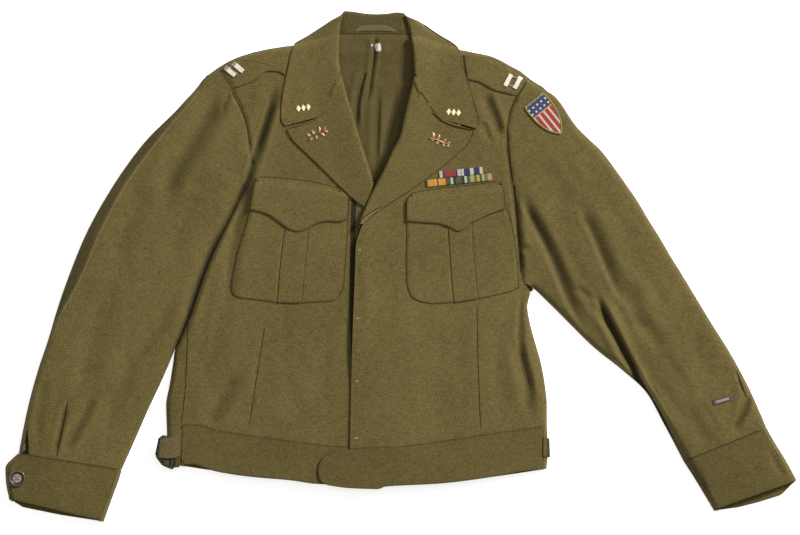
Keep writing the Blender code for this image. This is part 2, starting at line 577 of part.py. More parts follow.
def under_sheet(name, lines, ends, mid_cols, wall, floor):
    """A sheet that lies on the surface and wraps round both sides.

    lines: a polyline for each row. ends: inset, closed, inset, closed for each row. floor: height of the flat part.
    """
    rows = []
    for line, (in_a, cl_a, in_b, cl_b) in zip(lines, ends):
        back = line[::-1]
        xy_a, z_a, used_a = side_of_roll(line, in_a, cl_a)
        xy_b, z_b, used_b = side_of_roll(back, in_b, cl_b)
        inner = np.linspace(used_a, length(line) - used_b, mid_cols + 2)[1:-1]
        xy_m = along(line, inner)
        z_a = z_a + floor(xy_a) * (z_a < 1e-6)
        z_b = z_b + floor(xy_b) * (z_b < 1e-6)
        middle = with_height(xy_m, floor(xy_m))
        rows.append(np.concatenate([with_height(xy_a, z_a), middle, with_height(xy_b, z_b)[::-1]]))
    return cloth(name, np.array(rows), wall, up=False)


def upper_sheet(name, lines, starts, ends, cols, wall, face):
    """A panel whose rows run along `lines` from start inset to end inset; `face` gives its outer height."""
    rows = []
    for line, start, end in zip(lines, starts, ends):
        full = length(line)
        share = np.asarray(cols)
        where = start + (full - start - end) * share
        rows.append(along(line, where))
    xy = np.array(rows)
    return cloth(name, with_height(xy, face(xy)), wall)


def patch(name, rows, cols, wall, face, slot="wool", metal=0.0, rough=0.85, row_at=None):
    """A sheet from rows of plan points in layout units, lying on a panel."""
    lines = np.array([spread(place(r), 41) for r in rows])
    if row_at is not None:
        lines = between(lines, row_at)
    xy = np.array([spread(line, cols) for line in lines])
    return cloth(name, with_height(xy, face(xy)), wall, slot, metal=metal, rough=rough)


# body
def side_lines():
    """Row polylines of the back, wearer's right side to left side, bent up to the neck."""
    lines = []
    for right, left, mid_y in zip(BODY_SIDE_RIGHT, BODY_SIDE_LEFT, BACK_MID_Y):
        a = np.array(right[:2])
        b = np.array(left[:2])
        neck = [np.array((BACK_NECK_X[0], mid_y)), np.array((BACK_NECK_X[1], mid_y))]
        lines.append(spread(place([a, *neck, b]), 61))
    return np.array(lines)


SHOULDER_ROWS = [17.0, 17.5, 17.82, 17.985, 18.0]
BODY_ROWS = list(range(17)) + SHOULDER_ROWS
SLEEVE_ROWS = [0, 0.02, 0.22, 0.6] + list(range(1, 19))


def make_body():
    lines = side_lines()
    top = np.concatenate([place(SHOULDER_RIGHT), place(SHOULDER_LEFT)[::-1]])
    lines[-1] = spread(top, 61)
    lines = between(lines, BODY_ROWS)
    right = between([r[2:] for r in BODY_SIDE_RIGHT], BODY_ROWS)
    left = between([r[2:] for r in BODY_SIDE_LEFT], BODY_ROWS)
    ends = [(r[0], r[1], q[0], q[1]) for r, q in zip(right, left)]
    under_sheet("back", lines, ends, 8, CLOTH, underside)

    shares = [0, 0.025, 0.08, 0.18, 0.31, 0.45, 0.6, 0.75, 0.89, 1]
    for name, side, edge, (shoulder, hem), lift in (
        ("front_right", BODY_SIDE_RIGHT, FRONT_EDGE_RIGHT, (SHOULDER_RIGHT, FRONT_HEM_RIGHT), False),
        ("front_left", BODY_SIDE_LEFT, FRONT_EDGE_LEFT, (SHOULDER_LEFT, FRONT_HEM_LEFT), True),
    ):
        lines = np.array([spread(place([s[:2], e]), 41) for s, e in zip(side, edge)])
        lines[0] = spread(place(hem), 41)
        lines[-1] = spread(place(shoulder), 41)
        lines = between(lines, BODY_ROWS)
        data = between([s[2:] for s in side], BODY_ROWS)
        starts = [d[1] * (d[0] + seam_gap(d[0]) - BORDER_GAP) + BORDER_GAP for d in data]

        def face(xy, lift=lift):
            z = height(xy)
            if lift:
                z = z + lapped(xy)
            z[-1] = ROLL_MID + SHOULDER_GAP
            return z

        upper_sheet(name, lines, starts, [0.0] * len(lines), shares, CLOTH, face)


# sleeves and cuffs
def sleeve_lines(table):
    return np.array([spread(place([(r[0], r[1]), (r[2], r[3])]), 41) for r in table])


def make_sleeve(side, table, top_rows, under_rows, sag):
    lines = between(sleeve_lines(table), SLEEVE_ROWS)
    data = between([r[4:] for r in table], SLEEVE_ROWS)
    ends = [(r[0], r[1], r[2], 1.0) for r in data]
    under_sheet(f"sleeve_{side}_under", lines, ends, 3, CLOTH, underside)
    shares = [0, 0.05, 0.17, 0.33, 0.5, 0.67, 0.83, 0.95, 1]
    starts = [r[1] * (r[0] + seam_gap(r[0]) - BORDER_GAP) + BORDER_GAP for r in data]
    stops = [r[2] + seam_gap(r[2]) for r in data]

    def face(xy):
        z = height(xy)
        z[0] = ROLL_MID + SHOULDER_GAP
        return z

    upper_sheet(f"sleeve_{side}_top", lines, starts, stops, shares, CLOTH, face)

    rows = [0.0, 0.35, 1, 2, 3]
    cuff = between(sleeve_lines(top_rows), rows)
    shares = [0, 0.03, 0.12, 0.3, 0.5, 0.7, 0.86, 0.96, 1]
    inset = [CUFF_SEAM + seam_gap(CUFF_SEAM)] * len(rows)
    upper_sheet(f"cuff_{side}_top", cuff, inset, inset, shares, CLOTH, band_top)
    cuff = sleeve_lines(under_rows)
    share = np.linspace(0, 1, 41)
    drop = np.interp(share, [0] + [s[0] for s in sag] + [1], [0] + [s[1] for s in sag] + [0])
    cuff[-1, :, 1] -= drop * UNIT_MM
    cuff = between(cuff, rows)
    ends = [(CUFF_SEAM, 1.0, CUFF_SEAM, 1.0)] * len(rows)
    under_sheet(f"cuff_{side}_under", cuff, ends, 6, CLOTH, on_surface)


# waistband
def upper_band_top(xy):
    return band_top(xy) + lapped(xy) * BAND_LAP


def make_waistband():
    rows = [0, 0.25, 1, 2, 3]
    lines = between([spread(place(r), 61) for r in BAND_RIGHT], rows)
    seam = between([[s] for s in BAND_SEAM_RIGHT], rows)[:, 0]
    shares = [0, 0.03, 0.1, 0.2, 0.32, 0.44, 0.56, 0.68, 0.8, 0.9, 1]
    upper_sheet("waistband_right", lines, seam + seam_gap(seam), [0.0] * len(rows), shares, CLOTH, band_top)
    rows = [0, 0.25, 1, 2, 3, 4]
    lines = between([spread(place(r), 61) for r in BAND_LEFT], rows)
    starts = [BAND_SEAM_LEFT + seam_gap(BAND_SEAM_LEFT)] * len(rows)
    shares = [0, 0.02, 0.08, 0.17, 0.28, 0.39, 0.5, 0.61, 0.72, 0.82, 0.91, 0.97, 1]
    upper_sheet("waistband_left", lines, starts, [0.0] * len(rows), shares, CLOTH, upper_band_top)
    rows = [0, 1, 2, 3]
    lines = between([spread(place(r), 61) for r in BAND_BACK], rows)
    ends = [(a, 1.0, BAND_SEAM_LEFT, 1.0) for a in BAND_SEAM_RIGHT]
    under_sheet("waistband_back", lines, ends, 10, CLOTH, on_surface)


# lapels and collar
ROLL_RIGHT = place([(r[0], r[1]) for r in LEAF_RIGHT[::-1][:8]] + [(r[0], r[1]) for r in LAPEL_RIGHT])
ROLL_LEFT = place([(r[0], r[1]) for r in LEAF_LEFT[::-1][:8]] + [(r[0], r[1]) for r in LAPEL_LEFT])


def turned(name, table, panel, roll_line, shares, edge_down=None):
    """A lapel or collar leaf: the cloth comes from under, turns over its roll and lies on the panel."""
    rows = []
    base = CLOTH + COLLAR_CLEAR
    return_s = np.array([ROLL_OVER, 3.0, 0.8, 0.0, 0.8, 3.0])
    return_z = np.array([-CLOTH, -CLOTH + 0.1, -0.4, 2.0])
    for number, (rx, ry, ox, oy, rolled) in enumerate(table):
        line = spread(place([(rx, ry), (ox, oy)]), 31)
        full = length(line)
        squeeze = min(1.0, full / (ROLL_OVER * 2.2))
        s_roll = return_s * squeeze
        xy = along(line, s_roll)
        z_panel = panel(xy)
        rise = base + LAPEL_RISE
        z = np.empty(6)
        z[:3] = z_panel[:3] + return_z[:3]
        z[3] = z_panel[3] + return_z[3]
        z[4] = z_panel[4] + rise - 1.7
        z[5] = z_panel[5] + rise - 0.3
        flat_xy = along(line, 0.15 + 0.55 * np.arange(6))
        flat_rise = base + LAPEL_RISE * (1 - ease(distance_to(flat_xy, roll_line) / LAPEL_SOFT))
        flat_z = panel(flat_xy) + flat_rise
        xy = rolled * xy + (1 - rolled) * flat_xy
        z = rolled * z + (1 - rolled) * flat_z
        first = ROLL_OVER * squeeze if rolled else 3.6
        where = first + (full - first) * np.asarray(shares)
        out = along(line, where)
        lift = base + LAPEL_RISE * (1 - ease(distance_to(out, roll_line) / LAPEL_SOFT))
        z_out = panel(out) + lift
        if edge_down is not None and edge_down[number]:
            share = np.asarray(shares)
            drop = edge_down[number]
            z_out = z_out * (1 - drop * share ** 3) + (ROLL_MID + 0.5) * drop * share ** 3
        rows.append(np.concatenate([with_height(xy, z), with_height(out, z_out)]))
    return cloth(name, np.array(rows), CLOTH)


def past_shoulder(xy):
    return height(xy, 0, CLOTH + COLLAR_CLEAR + GAP)


def past_shoulder_lapped(xy):
    return past_shoulder(xy) + lapped(xy)


def make_lapels():
    shares = [0, 0.2, 0.42, 0.66, 0.86, 1]
    turned("lapel_right", LAPEL_RIGHT, height, ROLL_RIGHT, shares)
    turned("lapel_left", LAPEL_LEFT, upper_front, ROLL_LEFT, shares)
    down = [0] * 9 + [0.6, 1, 1]
    turned("collar_right", LEAF_RIGHT, past_shoulder, ROLL_RIGHT, shares, down)
    turned("collar_left", LEAF_LEFT, past_shoulder_lapped, ROLL_LEFT, shares, down)


def lining_face(xy):
    folds = fold_sum(xy, LINING_FOLDS)
    return underside(xy) + CLOTH + 3 * GAP + LINING + np.maximum(folds + 1.2, 0)


def make_neck():
    top = spread(place(NECK_TOP), 11)
    seam_y = (UNIT_Y0 - NECK_SEAM_Y) * UNIT_MM
    under_y = (UNIT_Y0 - UNDER_COLLAR_Y) * UNIT_MM
    rows = []
    for x, y in top:
        depth = y - seam_y
        path = [
            (seam_y + 0.6, NECK_LIFT + CLOTH + LINING + 1.0), (y - depth * 0.72, NECK_LIFT + CLOTH + LINING + 2.4),
            (y - depth * 0.4, 8.4), (y - depth * 0.16, 8.9), (y - 2.2, 8.2), (y - 0.5, 6.4), (y, 4.4),
            (y - 0.6, 2.2),
            (y - 2.6, 0.5), (y - 6.0, 0.0), (y - depth * 0.7, 0.0), (under_y + 9, 0.0), (under_y, 0.0),
        ]
        rows.append([(x, p[0], p[1]) for p in path])
    cloth("collar_back", np.array(rows), CLOTH, up=False)


def make_lining():
    patch("back_lining", LINING_ROWS, 12, LINING, lining_face, "lining",
          row_at=[0, 0.5, 1, 1.5, 2, 2.5, 3, 3.5, 4, 4.5, 5, 5.5, 6])


# pockets and straps
def pleat_rise(xy, table):
    """1 between the two folds of a box pleat, 0 outside."""
    rows = place([[(r[0], r[1]), (r[2], r[3])] for r in table])
    y = xy[..., 1]
    order = np.argsort(rows[:, 0, 1])
    left = np.interp(y, rows[order, 0, 1], rows[order, 0, 0])
    right = np.interp(y, rows[order, 1, 1], rows[order, 1, 0])
    x = xy[..., 0]
    return ease((x - left + 1.5) / 3) * ease((right + 1.5 - x) / 3)


def pleat_cols(line, table):
    """Column distances along a pocket row with close pairs at the pleat folds."""
    row = spread(line, 201)
    inside = pleat_rise(row, table)
    at = np.linspace(0, 1, 201)
    a = at[np.argmax(inside > 0.5)]
    b = 1 - at[np.argmax(inside[::-1] > 0.5)]
    e = 2.0 / length(line)
    outer = b + e + (1 - b - e) * np.array([0, 0.35, 0.7, 1])
    return [0, a * 0.33, a * 0.67, a - e, a + e, (a + b) / 2, b - e, *outer]


def make_pockets():
    for side, rows, flap, pleat, lift in (
        ("right", POCKET_RIGHT, (FLAP_RIGHT_TOP, FLAP_RIGHT_MID, FLAP_RIGHT_END), PLEAT_RIGHT, 0.0),
        ("left", POCKET_LEFT, (FLAP_LEFT_TOP, FLAP_LEFT_MID, FLAP_LEFT_END), PLEAT_LEFT, 1.0),
    ):
        def ground(xy, lift=lift):
            return height(xy) + lift * lapped(xy)

        lines = between([spread(place(r), 61) for r in rows], [0, 1, 2, 3, 4, 5, 6, 7])
        xy = np.array([along(line, np.array(pleat_cols(line, pleat)) * length(line)) for line in lines])
        z = ground(xy) + CLEAR + CLOTH_THIN + PLEAT_RISE * pleat_rise(xy, pleat)
        cloth(f"pocket_{side}", with_height(xy, z), CLOTH_THIN)

        edge = np.array([spread(place(row), 61) for row in flap])
        share = np.array([0, 0.25, 0.6, 1, 1.4, 1.75, 2])
        lines = between(edge, share)
        xy = np.array([spread(line, 13) for line in lines])
        over = CLEAR + CLOTH_THIN + ease(share[:, None] / 0.9) * (CLEAR + CLOTH_THIN + PLEAT_RISE)
        cloth(f"pocket_flap_{side}", with_height(xy, ground(xy) + over), CLOTH_THIN)


def loop_top(xy):
    return height(xy, 1.5 * CLEAR + CLOTH_THIN)


def make_loops():
    for side, table in (("right", LOOP_RIGHT), ("left", LOOP_LEFT)):
        rows = [[(r[0], r[1]), (r[2], r[3])] for r in table]
        patch(f"shoulder_loop_{side}", rows, 6, CLOTH_THIN, loop_top)


# trim
def plate(name, x, y, wide, tall, angle, wall, rise, slot, ground=height, metal=0.9, rough=0.45,
          shape=(1, 1, 1), rows=3):
    """A thin piece on a panel: centre in layout units, size in mm, angle from X in degrees.

    shape: half height at even steps from one end to the other, as shares of the full half height.
    """
    cols = len(shape)
    a = math.radians(angle)
    centre = place([(x, y)])[0]
    xy = np.empty((rows, cols, 2))
    for i, v in enumerate(np.linspace(0.5, -0.5, rows)):
        for j, u in enumerate(np.linspace(-0.5, 0.5, cols)):
            px, py = u * wide, v * tall * shape[j]
            xy[i, j] = centre + (px * math.cos(a) - py * math.sin(a), px * math.sin(a) + py * math.cos(a))
    z = ground(xy) + rise + wall
    return cloth(name, with_height(xy, z), wall, slot, metal=metal, rough=rough, smooth=False)


def right_lapel_top(xy):
    rise = LAPEL_RISE * (1 - ease(distance_to(xy, ROLL_RIGHT) / LAPEL_SOFT))
    return height(xy) + CLOTH + COLLAR_CLEAR + rise


def left_lapel_top(xy):
    rise = LAPEL_RISE * (1 - ease(distance_to(xy, ROLL_LEFT) / LAPEL_SOFT))
    return upper_front(xy) + CLOTH + COLLAR_CLEAR + rise


def shield(name, x, y, long, wide, angle, wall, rise, slot):
    """A heater shield: flat top, sides drawn in to a point."""
    a = math.radians(angle)
    centre = place([(x, y)])[0]
    xy = np.empty((len(SHIELD_OUTLINE), 5, 2))
    for i, (down, half) in enumerate(SHIELD_OUTLINE):
        for j, u in enumerate(np.linspace(-1, 1, 5)):
            px, py = u * half * wide / 2, (0.5 - down) * long
            xy[i, j] = centre + (px * math.cos(a) - py * math.sin(a), px * math.sin(a) + py * math.cos(a))
    return cloth(name, with_height(xy, height(xy) + rise + wall), wall, slot, smooth=False)


def button(name, x, y):
    """A turned button with a raised rim, its back just clear of the cuff."""
    centre = place([(x, y)])[0]
    turn = np.linspace(0, 2 * math.pi, 25)
    ring = centre + BUTTON_RADIUS * np.stack([np.cos(turn), np.sin(turn)], axis=1)
    low = float(np.max(band_top(np.concatenate([ring, [centre]])))) + GAP
    profile = [(0.0, 0.0)] + [(r * BUTTON_RADIUS, h) for r, h in BUTTON_PROFILE] + [(0.0, 2.1)]
    mesh = bpy.data.meshes.new(name)
    verts = [(r * MM, 0.0, (low + h) * MM) for r, h in profile]
    mesh.from_pydata(verts, [(i, i + 1) for i in range(len(verts) - 1)], [])
    obj = add_object(name, mesh, "horn", rough=0.35)
    mod = obj.modifiers.new("turn", "SCREW")
    mod.axis = "Z"
    mod.angle = 2 * math.pi
    mod.steps = 24
    mod.render_steps = 24
    mod.use_merge_vertices = True
    mod.merge_threshold = 0.00001
    mod.use_normal_calculate = True
    apply_modifiers(obj)
    bm = bmesh.new()
    bm.from_mesh(obj.data)
    bmesh.ops.remove_doubles(bm, verts=bm.verts, dist=0.00001)
    bmesh.ops.recalc_face_normals(bm, faces=bm.faces)
    bm.to_mesh(obj.data)
    bm.free()
    obj.location = (centre[0] * MM, centre[1] * MM, 0.0)
    return obj


def rail(name, points, radius, slot, cyclic=False):
    """A round bar along points in millimetres."""
    curve = bpy.data.curves.new(name, "CURVE")
    curve.dimensions = "3D"
    curve.bevel_depth = radius * MM
    curve.bevel_resolution = 2
    curve.use_fill_caps = not cyclic
    spline = curve.splines.new("POLY")
    spline.points.add(len(points) - 1)
    for target, point in zip(spline.points, points):
        target.co = (*(float(c) * MM for c in point), 1.0)
    spline.use_cyclic_u = cyclic
    temp = bpy.data.objects.new(name, curve)
    JACKET.objects.link(temp)
    graph = bpy.context.evaluated_depsgraph_get()
    mesh = bpy.data.meshes.new_from_object(temp.evaluated_get(graph))
    bpy.data.objects.remove(temp, do_unlink=True)
    bpy.data.curves.remove(curve)
    mesh.materials.clear()
    obj = add_object(name, mesh, slot, metal=0.9, rough=0.4)
    for poly in obj.data.polygons:
        poly.use_smooth = True
    return obj


def make_insignia():
    on_loop = 1.5 * CLEAR + CLOTH_THIN + CLEAR
    for name, x, y, angle in RANK_BARS:
        plate(name, x, y, RANK_BAR[0], RANK_BAR[1], angle, 1.6, on_loop, "silver")
    for name, x, y, wide, tall, angle, slot, shape, ground in (
        ("collar_pin_right", 303.5, 108, 22, 10.5, 8, "gold", LOZENGES, right_lapel_top),
        ("collar_pin_left", 453.5, 112.5, 22, 10.5, -6, "gold", LOZENGES, left_lapel_top),
        ("lapel_pin_right", 316.5, 134.5, 27, 13, 24, "copper", SPRIG, right_lapel_top),
        ("lapel_pin_left", 439.5, 141, 27, 13, -24, "copper", SPRIG, left_lapel_top),
    ):
        plate(name, x, y, wide, tall, angle, 1.3, CLEAR, slot, ground, shape=shape)
    for name, x, y, wide, angle in RIBBON_BARS:
        plate(name, x, y, wide, RIBBON_TALL, angle, 2.0, 0.7, "ribbon", upper_front, metal=0.0, rough=0.8,
              shape=(1,) * 8, rows=2)
    shield("shoulder_patch", 547.4, 117, 62, 36, PATCH_ANGLE, 1.2, 1.5 * CLEAR, "patch")
    plate("service_bar", 722, 400, 27, 8.2, 16, 1.2, CLEAR, "braid", metal=0.0, rough=0.9)


def make_side_straps():
    """Buckle and strap at the wearer's right of the waistband, strap end at the left."""
    corners = place([(160.8, 437), (157.2, 456.5), (163.4, 464.4), (173.8, 468.6), (177.4, 450), (179, 438.4)])
    rail("side_buckle", [(x, y, BUCKLE_Z) for x, y in corners], BUCKLE_BAR, "dark_metal", cyclic=True)
    rows = [[(185, 433.5), (184.4, 447.5)], [(181, 433.8), (180.4, 448)], [(176, 435.6), (175, 452.6)],
            [(170, 438), (169, 455.4)], [(163.4, 440.4), (162.2, 456.8)]]
    lines = np.array([spread(place(row), 4) for row in rows])
    on_band = band_top(lines) + CLEAR + CLOTH_THIN
    over = BUCKLE_Z + BUCKLE_BAR + GAP + CLOTH_THIN
    z = np.maximum(on_band, over - np.array([2.2, 0.3, 0, 0, 0])[:, None])
    cloth("side_strap_right", with_height(lines, z), CLOTH_THIN)
    rows = [[(538, 438), (538, 456)], [(542, 437.6), (542, 456.6)], [(545.5, 437.4), (545.6, 457)],
            [(548.2, 438), (548.8, 457.4)], [(549.6, 439), (550.2, 457.4)]]
    lines = np.array([spread(place(row), 4) for row in rows])
    top = band_top(lines)
    z = top + CLEAR + CLOTH_THIN + np.array([0, 0, 0.4, 0, 0])[:, None]
    z[3] = z[2] - 2.2
    z[4] = z[2] - 6.0
    cloth("side_strap_left", with_height(lines, z), CLOTH_THIN)


def make_neck_trim():
    rows = [[(355.5, 30), (355.5, 31.6)], [(360, 26.8), (360, 31.2)], [(368, 25.3), (368, 30.9)],
            [(377, 25), (377, 30.9)], [(386, 25.7), (386, 31.1)], [(392, 28), (392, 31.4)],
            [(395.6, 30), (395.6, 31.8)]]
    arch = np.array([0, 0.5, 0.9, 1, 0.9, 0.5, 0])[:, None]

    def loop_face(xy):
        y = UNIT_Y0 - xy[..., 1] / UNIT_MM
        return 7.1 + (NECK_SEAM_Y - y) * 0.14 + CLEAR + LINING + 0.9 * arch

    patch("hanger_loop", rows, 4, LINING, loop_face, "loop")
    plate("label_remnant", 378, 47.6, 8.5, 12, 6, 0.8, 3 * CLEAR, "label", lining_face, metal=0.0, rough=0.9,
          shape=(0.8, 1, 0.7))


def main():
    make_body()
    make_sleeve("right", SLEEVE_RIGHT, CUFF_RIGHT_TOP, CUFF_RIGHT_UNDER, CUFF_RIGHT_SAG)
    make_sleeve("left", SLEEVE_LEFT, CUFF_LEFT_TOP, CUFF_LEFT_UNDER, CUFF_LEFT_SAG)
    make_waistband()
    make_lapels()
    make_neck()
    make_lining()
    make_pockets()
    make_loops()
    make_insignia()
    button("cuff_button_right", 17.8, 478)
    make_side_straps()
    make_neck_trim()


main()
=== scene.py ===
"""Looks of a waist-length wool service jacket, laid flat on its back with the front up.

Tables give places in layout units, X to the right and Y downward; everything else is in millimetres until the
meshes are written in metres. The fine cloth follows the same height rule as the solids that it replaces.
"""
import math

import bmesh
import bpy
import numpy as np
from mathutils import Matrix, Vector
from mathutils.bvhtree import BVHTree


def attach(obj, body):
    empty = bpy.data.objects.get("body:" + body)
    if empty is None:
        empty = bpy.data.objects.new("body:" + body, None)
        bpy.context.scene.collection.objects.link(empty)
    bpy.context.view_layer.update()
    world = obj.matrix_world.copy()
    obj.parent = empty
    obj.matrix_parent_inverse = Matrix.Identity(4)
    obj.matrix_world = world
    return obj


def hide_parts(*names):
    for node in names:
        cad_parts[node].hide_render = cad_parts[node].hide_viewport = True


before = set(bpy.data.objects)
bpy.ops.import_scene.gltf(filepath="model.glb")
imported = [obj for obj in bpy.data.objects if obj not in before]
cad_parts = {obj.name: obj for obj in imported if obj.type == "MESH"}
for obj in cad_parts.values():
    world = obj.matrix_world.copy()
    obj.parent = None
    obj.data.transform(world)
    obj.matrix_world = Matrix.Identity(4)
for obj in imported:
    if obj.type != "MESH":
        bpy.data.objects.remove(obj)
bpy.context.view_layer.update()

UNIT_MM = 1.42          # size of one layout unit; sets the whole garment's size
UNIT_X0 = 400.926       # layout place of the frame's origin, the middle of the garment's plan
UNIT_Y0 = 266.2865
CLOTH = 2.0             # wall of body cloth with its facing
CLOTH_THIN = 1.6        # wall of patch pockets, flaps and straps
LINING = 1.2            # wall of the lining
GAP = 0.3               # clearance between neighbouring pieces
CLEAR = 0.6             # clearance of a piece that lies on a folded panel
COLLAR_CLEAR = 1.0      # clearance of lapels and collar leaves
SHOULDER_GAP = 0.6      # each side of the shoulder seam, up and down
ROLL_WIDE = 9.0         # a rolled side: half width of its curve in plan
ROLL_MID = 5.5          # height of the outermost line of a rolled side
CREST = 13.5            # height of the upper cloth just inside a rolled side
CROWN = 4.5             # further rise towards the middle of a panel
CROWN_REACH = 55.0      # distance over which the crown rises
NECK_LIFT = 2.9         # the back is raised over the turned-under collar
BAND_RISE = 0.9         # waistband and cuffs stand this far above the cloth that they finish
BAND_EASE = 4.0         # height above ROLL_MID over which that rise comes in
CUFF_SEAM = 6.0         # inset of both seams of a cuff
FRONT_LAP = 2.8         # the upper front is raised over the lower one
BAND_LAP = 1.15         # the upper waistband end, as a share of that
LAPEL_RISE = 4.2        # extra height of a lapel at its roll
LAPEL_SOFT = 48.0       # distance from the roll line over which that height is lost
ROLL_OVER = 6.5         # how far the cloth returns under a lapel or collar roll
PLEAT_RISE = 1.1        # box pleat above its pocket
SEAM_CLOSE = 0.05       # each side of a seam on a panel
POCKET_CLEAR = 0.35     # clearance under a patch pocket
FRONT_GAPE = 5.0        # further rise of the upper front's free edge
LOWEST = 5.6            # the upper cloth never sinks below this height
FOLD_ENDS = 0.22        # share of a fold's length over which it fades at each end
REACH = 260.0           # beyond this distance an edge no longer shapes the cloth
STEP = 3.6              # spacing of the cloth grids
STEP_UNDER = 4.6        # spacing of the under sheets' rows
LEAD = (0, 0.9, 2.0, 3.3, 4.8, 6.6)     # close columns near the edge of an upper sheet
MM = 0.001

# Sides of the body, hem seam to shoulder point: x, y, inset of the side seam in mm, closed (1) or armhole (0)
BODY_SIDE_RIGHT = [
    (166.5, 424, 23, 1), (166, 405, 29, 1), (169.5, 385, 27, 1), (173, 363, 26, 1), (175, 349, 25, 1),
    (183, 330, 14, 1), (190, 312, 6, 1), (200, 282, 6, 1), (213, 250, 6, 1), (226, 225, 6, 1),
    (236, 205, 6, 1), (244, 187, 6, 1), (252, 163, 6, 0.4), (250, 148, 6, 0), (248, 130, 6, 0),
    (242, 110, 6, 0), (233, 92, 6, 0), (225, 80, 6, 0), (218, 68, 6, 0),
]
BODY_SIDE_LEFT = [
    (547, 425, 6, 1), (547, 405, 7, 1), (545, 385, 8, 1), (541, 363, 10, 1), (536, 345, 12, 1),
    (530.5, 325, 8, 1), (527.5, 307, 6, 1), (530, 292, 6, 1), (522, 280, 6, 0.5), (519, 250, 6, 0),
    (516, 222, 6, 0), (513, 198, 6, 0), (510, 172, 6, 0), (507, 150, 6, 0), (507, 132, 6, 0),
    (509, 116, 6, 0), (516, 99, 6, 0), (523, 89, 6, 0), (530, 79.5, 6, 0),
]
# Inner edge of each front, seam with the waistband to neck, a point for each row of the sides
FRONT_EDGE_RIGHT = [
    (388, 446), (388, 427), (388, 405), (388, 380), (388, 362), (388, 342), (388, 322), (388, 292),
    (387, 262), (386, 238), (382, 214), (370, 190), (361.5, 166), (356, 146), (350.5, 126), (344, 104),
    (337, 82), (332.6, 60), (333.6, 37.6),
]
FRONT_EDGE_LEFT = [
    (350, 446.5), (350.4, 427), (350.8, 405), (351.3, 380), (351.8, 360), (352.5, 338), (353.3, 316),
    (354.2, 294), (355, 272), (356, 246), (362, 226), (372, 206), (384, 183), (395.5, 160), (404.5, 139),
    (411, 114), (418.8, 86), (420, 60), (416.6, 38.4),
]
# Middle of the back on each row: left and right of the neck have the same y
BACK_MID_Y = [440, 420, 400, 378, 361, 342, 322, 298, 274, 248, 224, 200, 174, 150, 127, 104, 81, 58, 35.5]
BACK_NECK_X = (338.0, 408.0)
SHOULDER_RIGHT = [
    (218, 68), (228, 61.8), (240, 56.5), (255, 52), (270, 48.8), (286, 46.4), (296, 45.6), (312, 42.4),
    (333.6, 37.6),
]
SHOULDER_LEFT = [
    (530, 79.5), (520, 71.2), (510, 66), (500, 60.2), (490, 56), (474, 52.8), (465, 51), (456, 49.4),
    (432, 43.2), (416.6, 38.4),
]

# Sleeves, shoulder to cuff seam: inner x, y, outer x, y, inner seam inset in mm,
# closed inner side (1) or armhole (0), outer seam inset in mm
SLEEVE_RIGHT = [
    (218, 68, 203, 79.3, 6, 0, 7), (225, 80, 195.5, 89.5, 6, 0, 8), (233, 92, 187, 98.5, 6, 0, 11),
    (242, 110, 174.8, 111.8, 6, 0, 12), (248, 130, 163, 123.2, 6, 0, 13), (250, 148, 150, 136, 6, 0, 16),
    (252, 163, 137, 151.5, 6, 0.4, 17), (244, 187, 118, 178, 6, 1, 17), (236, 205, 107, 195.5, 6, 1, 17),
    (226, 225, 96.5, 213.5, 6, 1, 18), (213, 250, 84.5, 237, 6, 1, 18.5), (200, 282, 72.5, 266, 6, 1, 18.5),
    (190, 312, 62, 294.5, 6, 1, 14), (183, 330, 55.8, 313.5, 6, 1, 8), (175, 349, 48.3, 339, 6, 1, 6),
    (163, 378, 37.5, 371.5, 6, 1, 6), (148, 410, 28.8, 403, 6, 1, 6), (134, 442, 22, 435, 6, 1, 6),
    (121.7, 469.5, 18.8, 453, 6, 1, 6),
]
SLEEVE_LEFT = [
    (530, 79.5, 547, 91.2, 6, 0, 7), (523, 89, 554, 95.5, 6, 0, 7), (516, 99, 561, 103.4, 6, 0, 6),
    (509, 116, 569, 115.8, 6, 0, 6), (507, 132, 577, 127, 6, 0, 6), (507, 150, 589, 139, 6, 0, 6),
    (510, 172, 602, 151.5, 6, 0, 6), (513, 198, 613, 166, 6, 0, 6), (516, 222, 624.5, 182, 6, 0, 6),
    (519, 250, 637.5, 201, 6, 0, 6), (522, 280, 650, 222, 6, 0.5, 6), (533, 288, 659.5, 237, 6, 1, 6),
    (550, 304, 670, 255, 6, 1, 6), (570, 324, 681.5, 273.5, 6, 1, 6), (594, 347.5, 696, 297.5, 6, 1, 6),
    (621, 369, 713, 325.5, 7, 1, 6), (646, 392, 729, 350.8, 12, 1, 6), (664, 424, 750.5, 391, 14, 1, 6),
    (683.5, 461, 766.3, 427.3, 14, 1, 6),
]
# Cuffs, seam to open end: inner x, y, outer x, y; the last row of the under cuff has its own points
CUFF_RIGHT_TOP = [
    (121.62, 469.72, 18.7, 453.24), (119.2, 479, 5.2, 468.5), (114, 493, 5.8, 482), (104, 521, 9, 498.5),
]
CUFF_RIGHT_UNDER = CUFF_RIGHT_TOP[:3] + [(103.6, 521.8, 9.3, 499.2)]
CUFF_LEFT_TOP = [
    (683.6, 461.22, 766.4, 427.52), (692.5, 475, 775.5, 443.5), (702, 490.5, 786, 460.5),
    (713, 510, 797, 480),
]
CUFF_LEFT_UNDER = CUFF_LEFT_TOP[:3] + [(714, 510.8, 796.6, 480)]
# How far the end of the under cuff shows past the upper one: share of the row from the inner side, units
CUFF_RIGHT_SAG = [(0.25, 2.0), (0.46, 3.7), (0.67, 4.4), (0.86, 5.0)]
CUFF_LEFT_SAG = [(0.31, 6.0), (0.56, 8.4), (0.82, 9.6)]

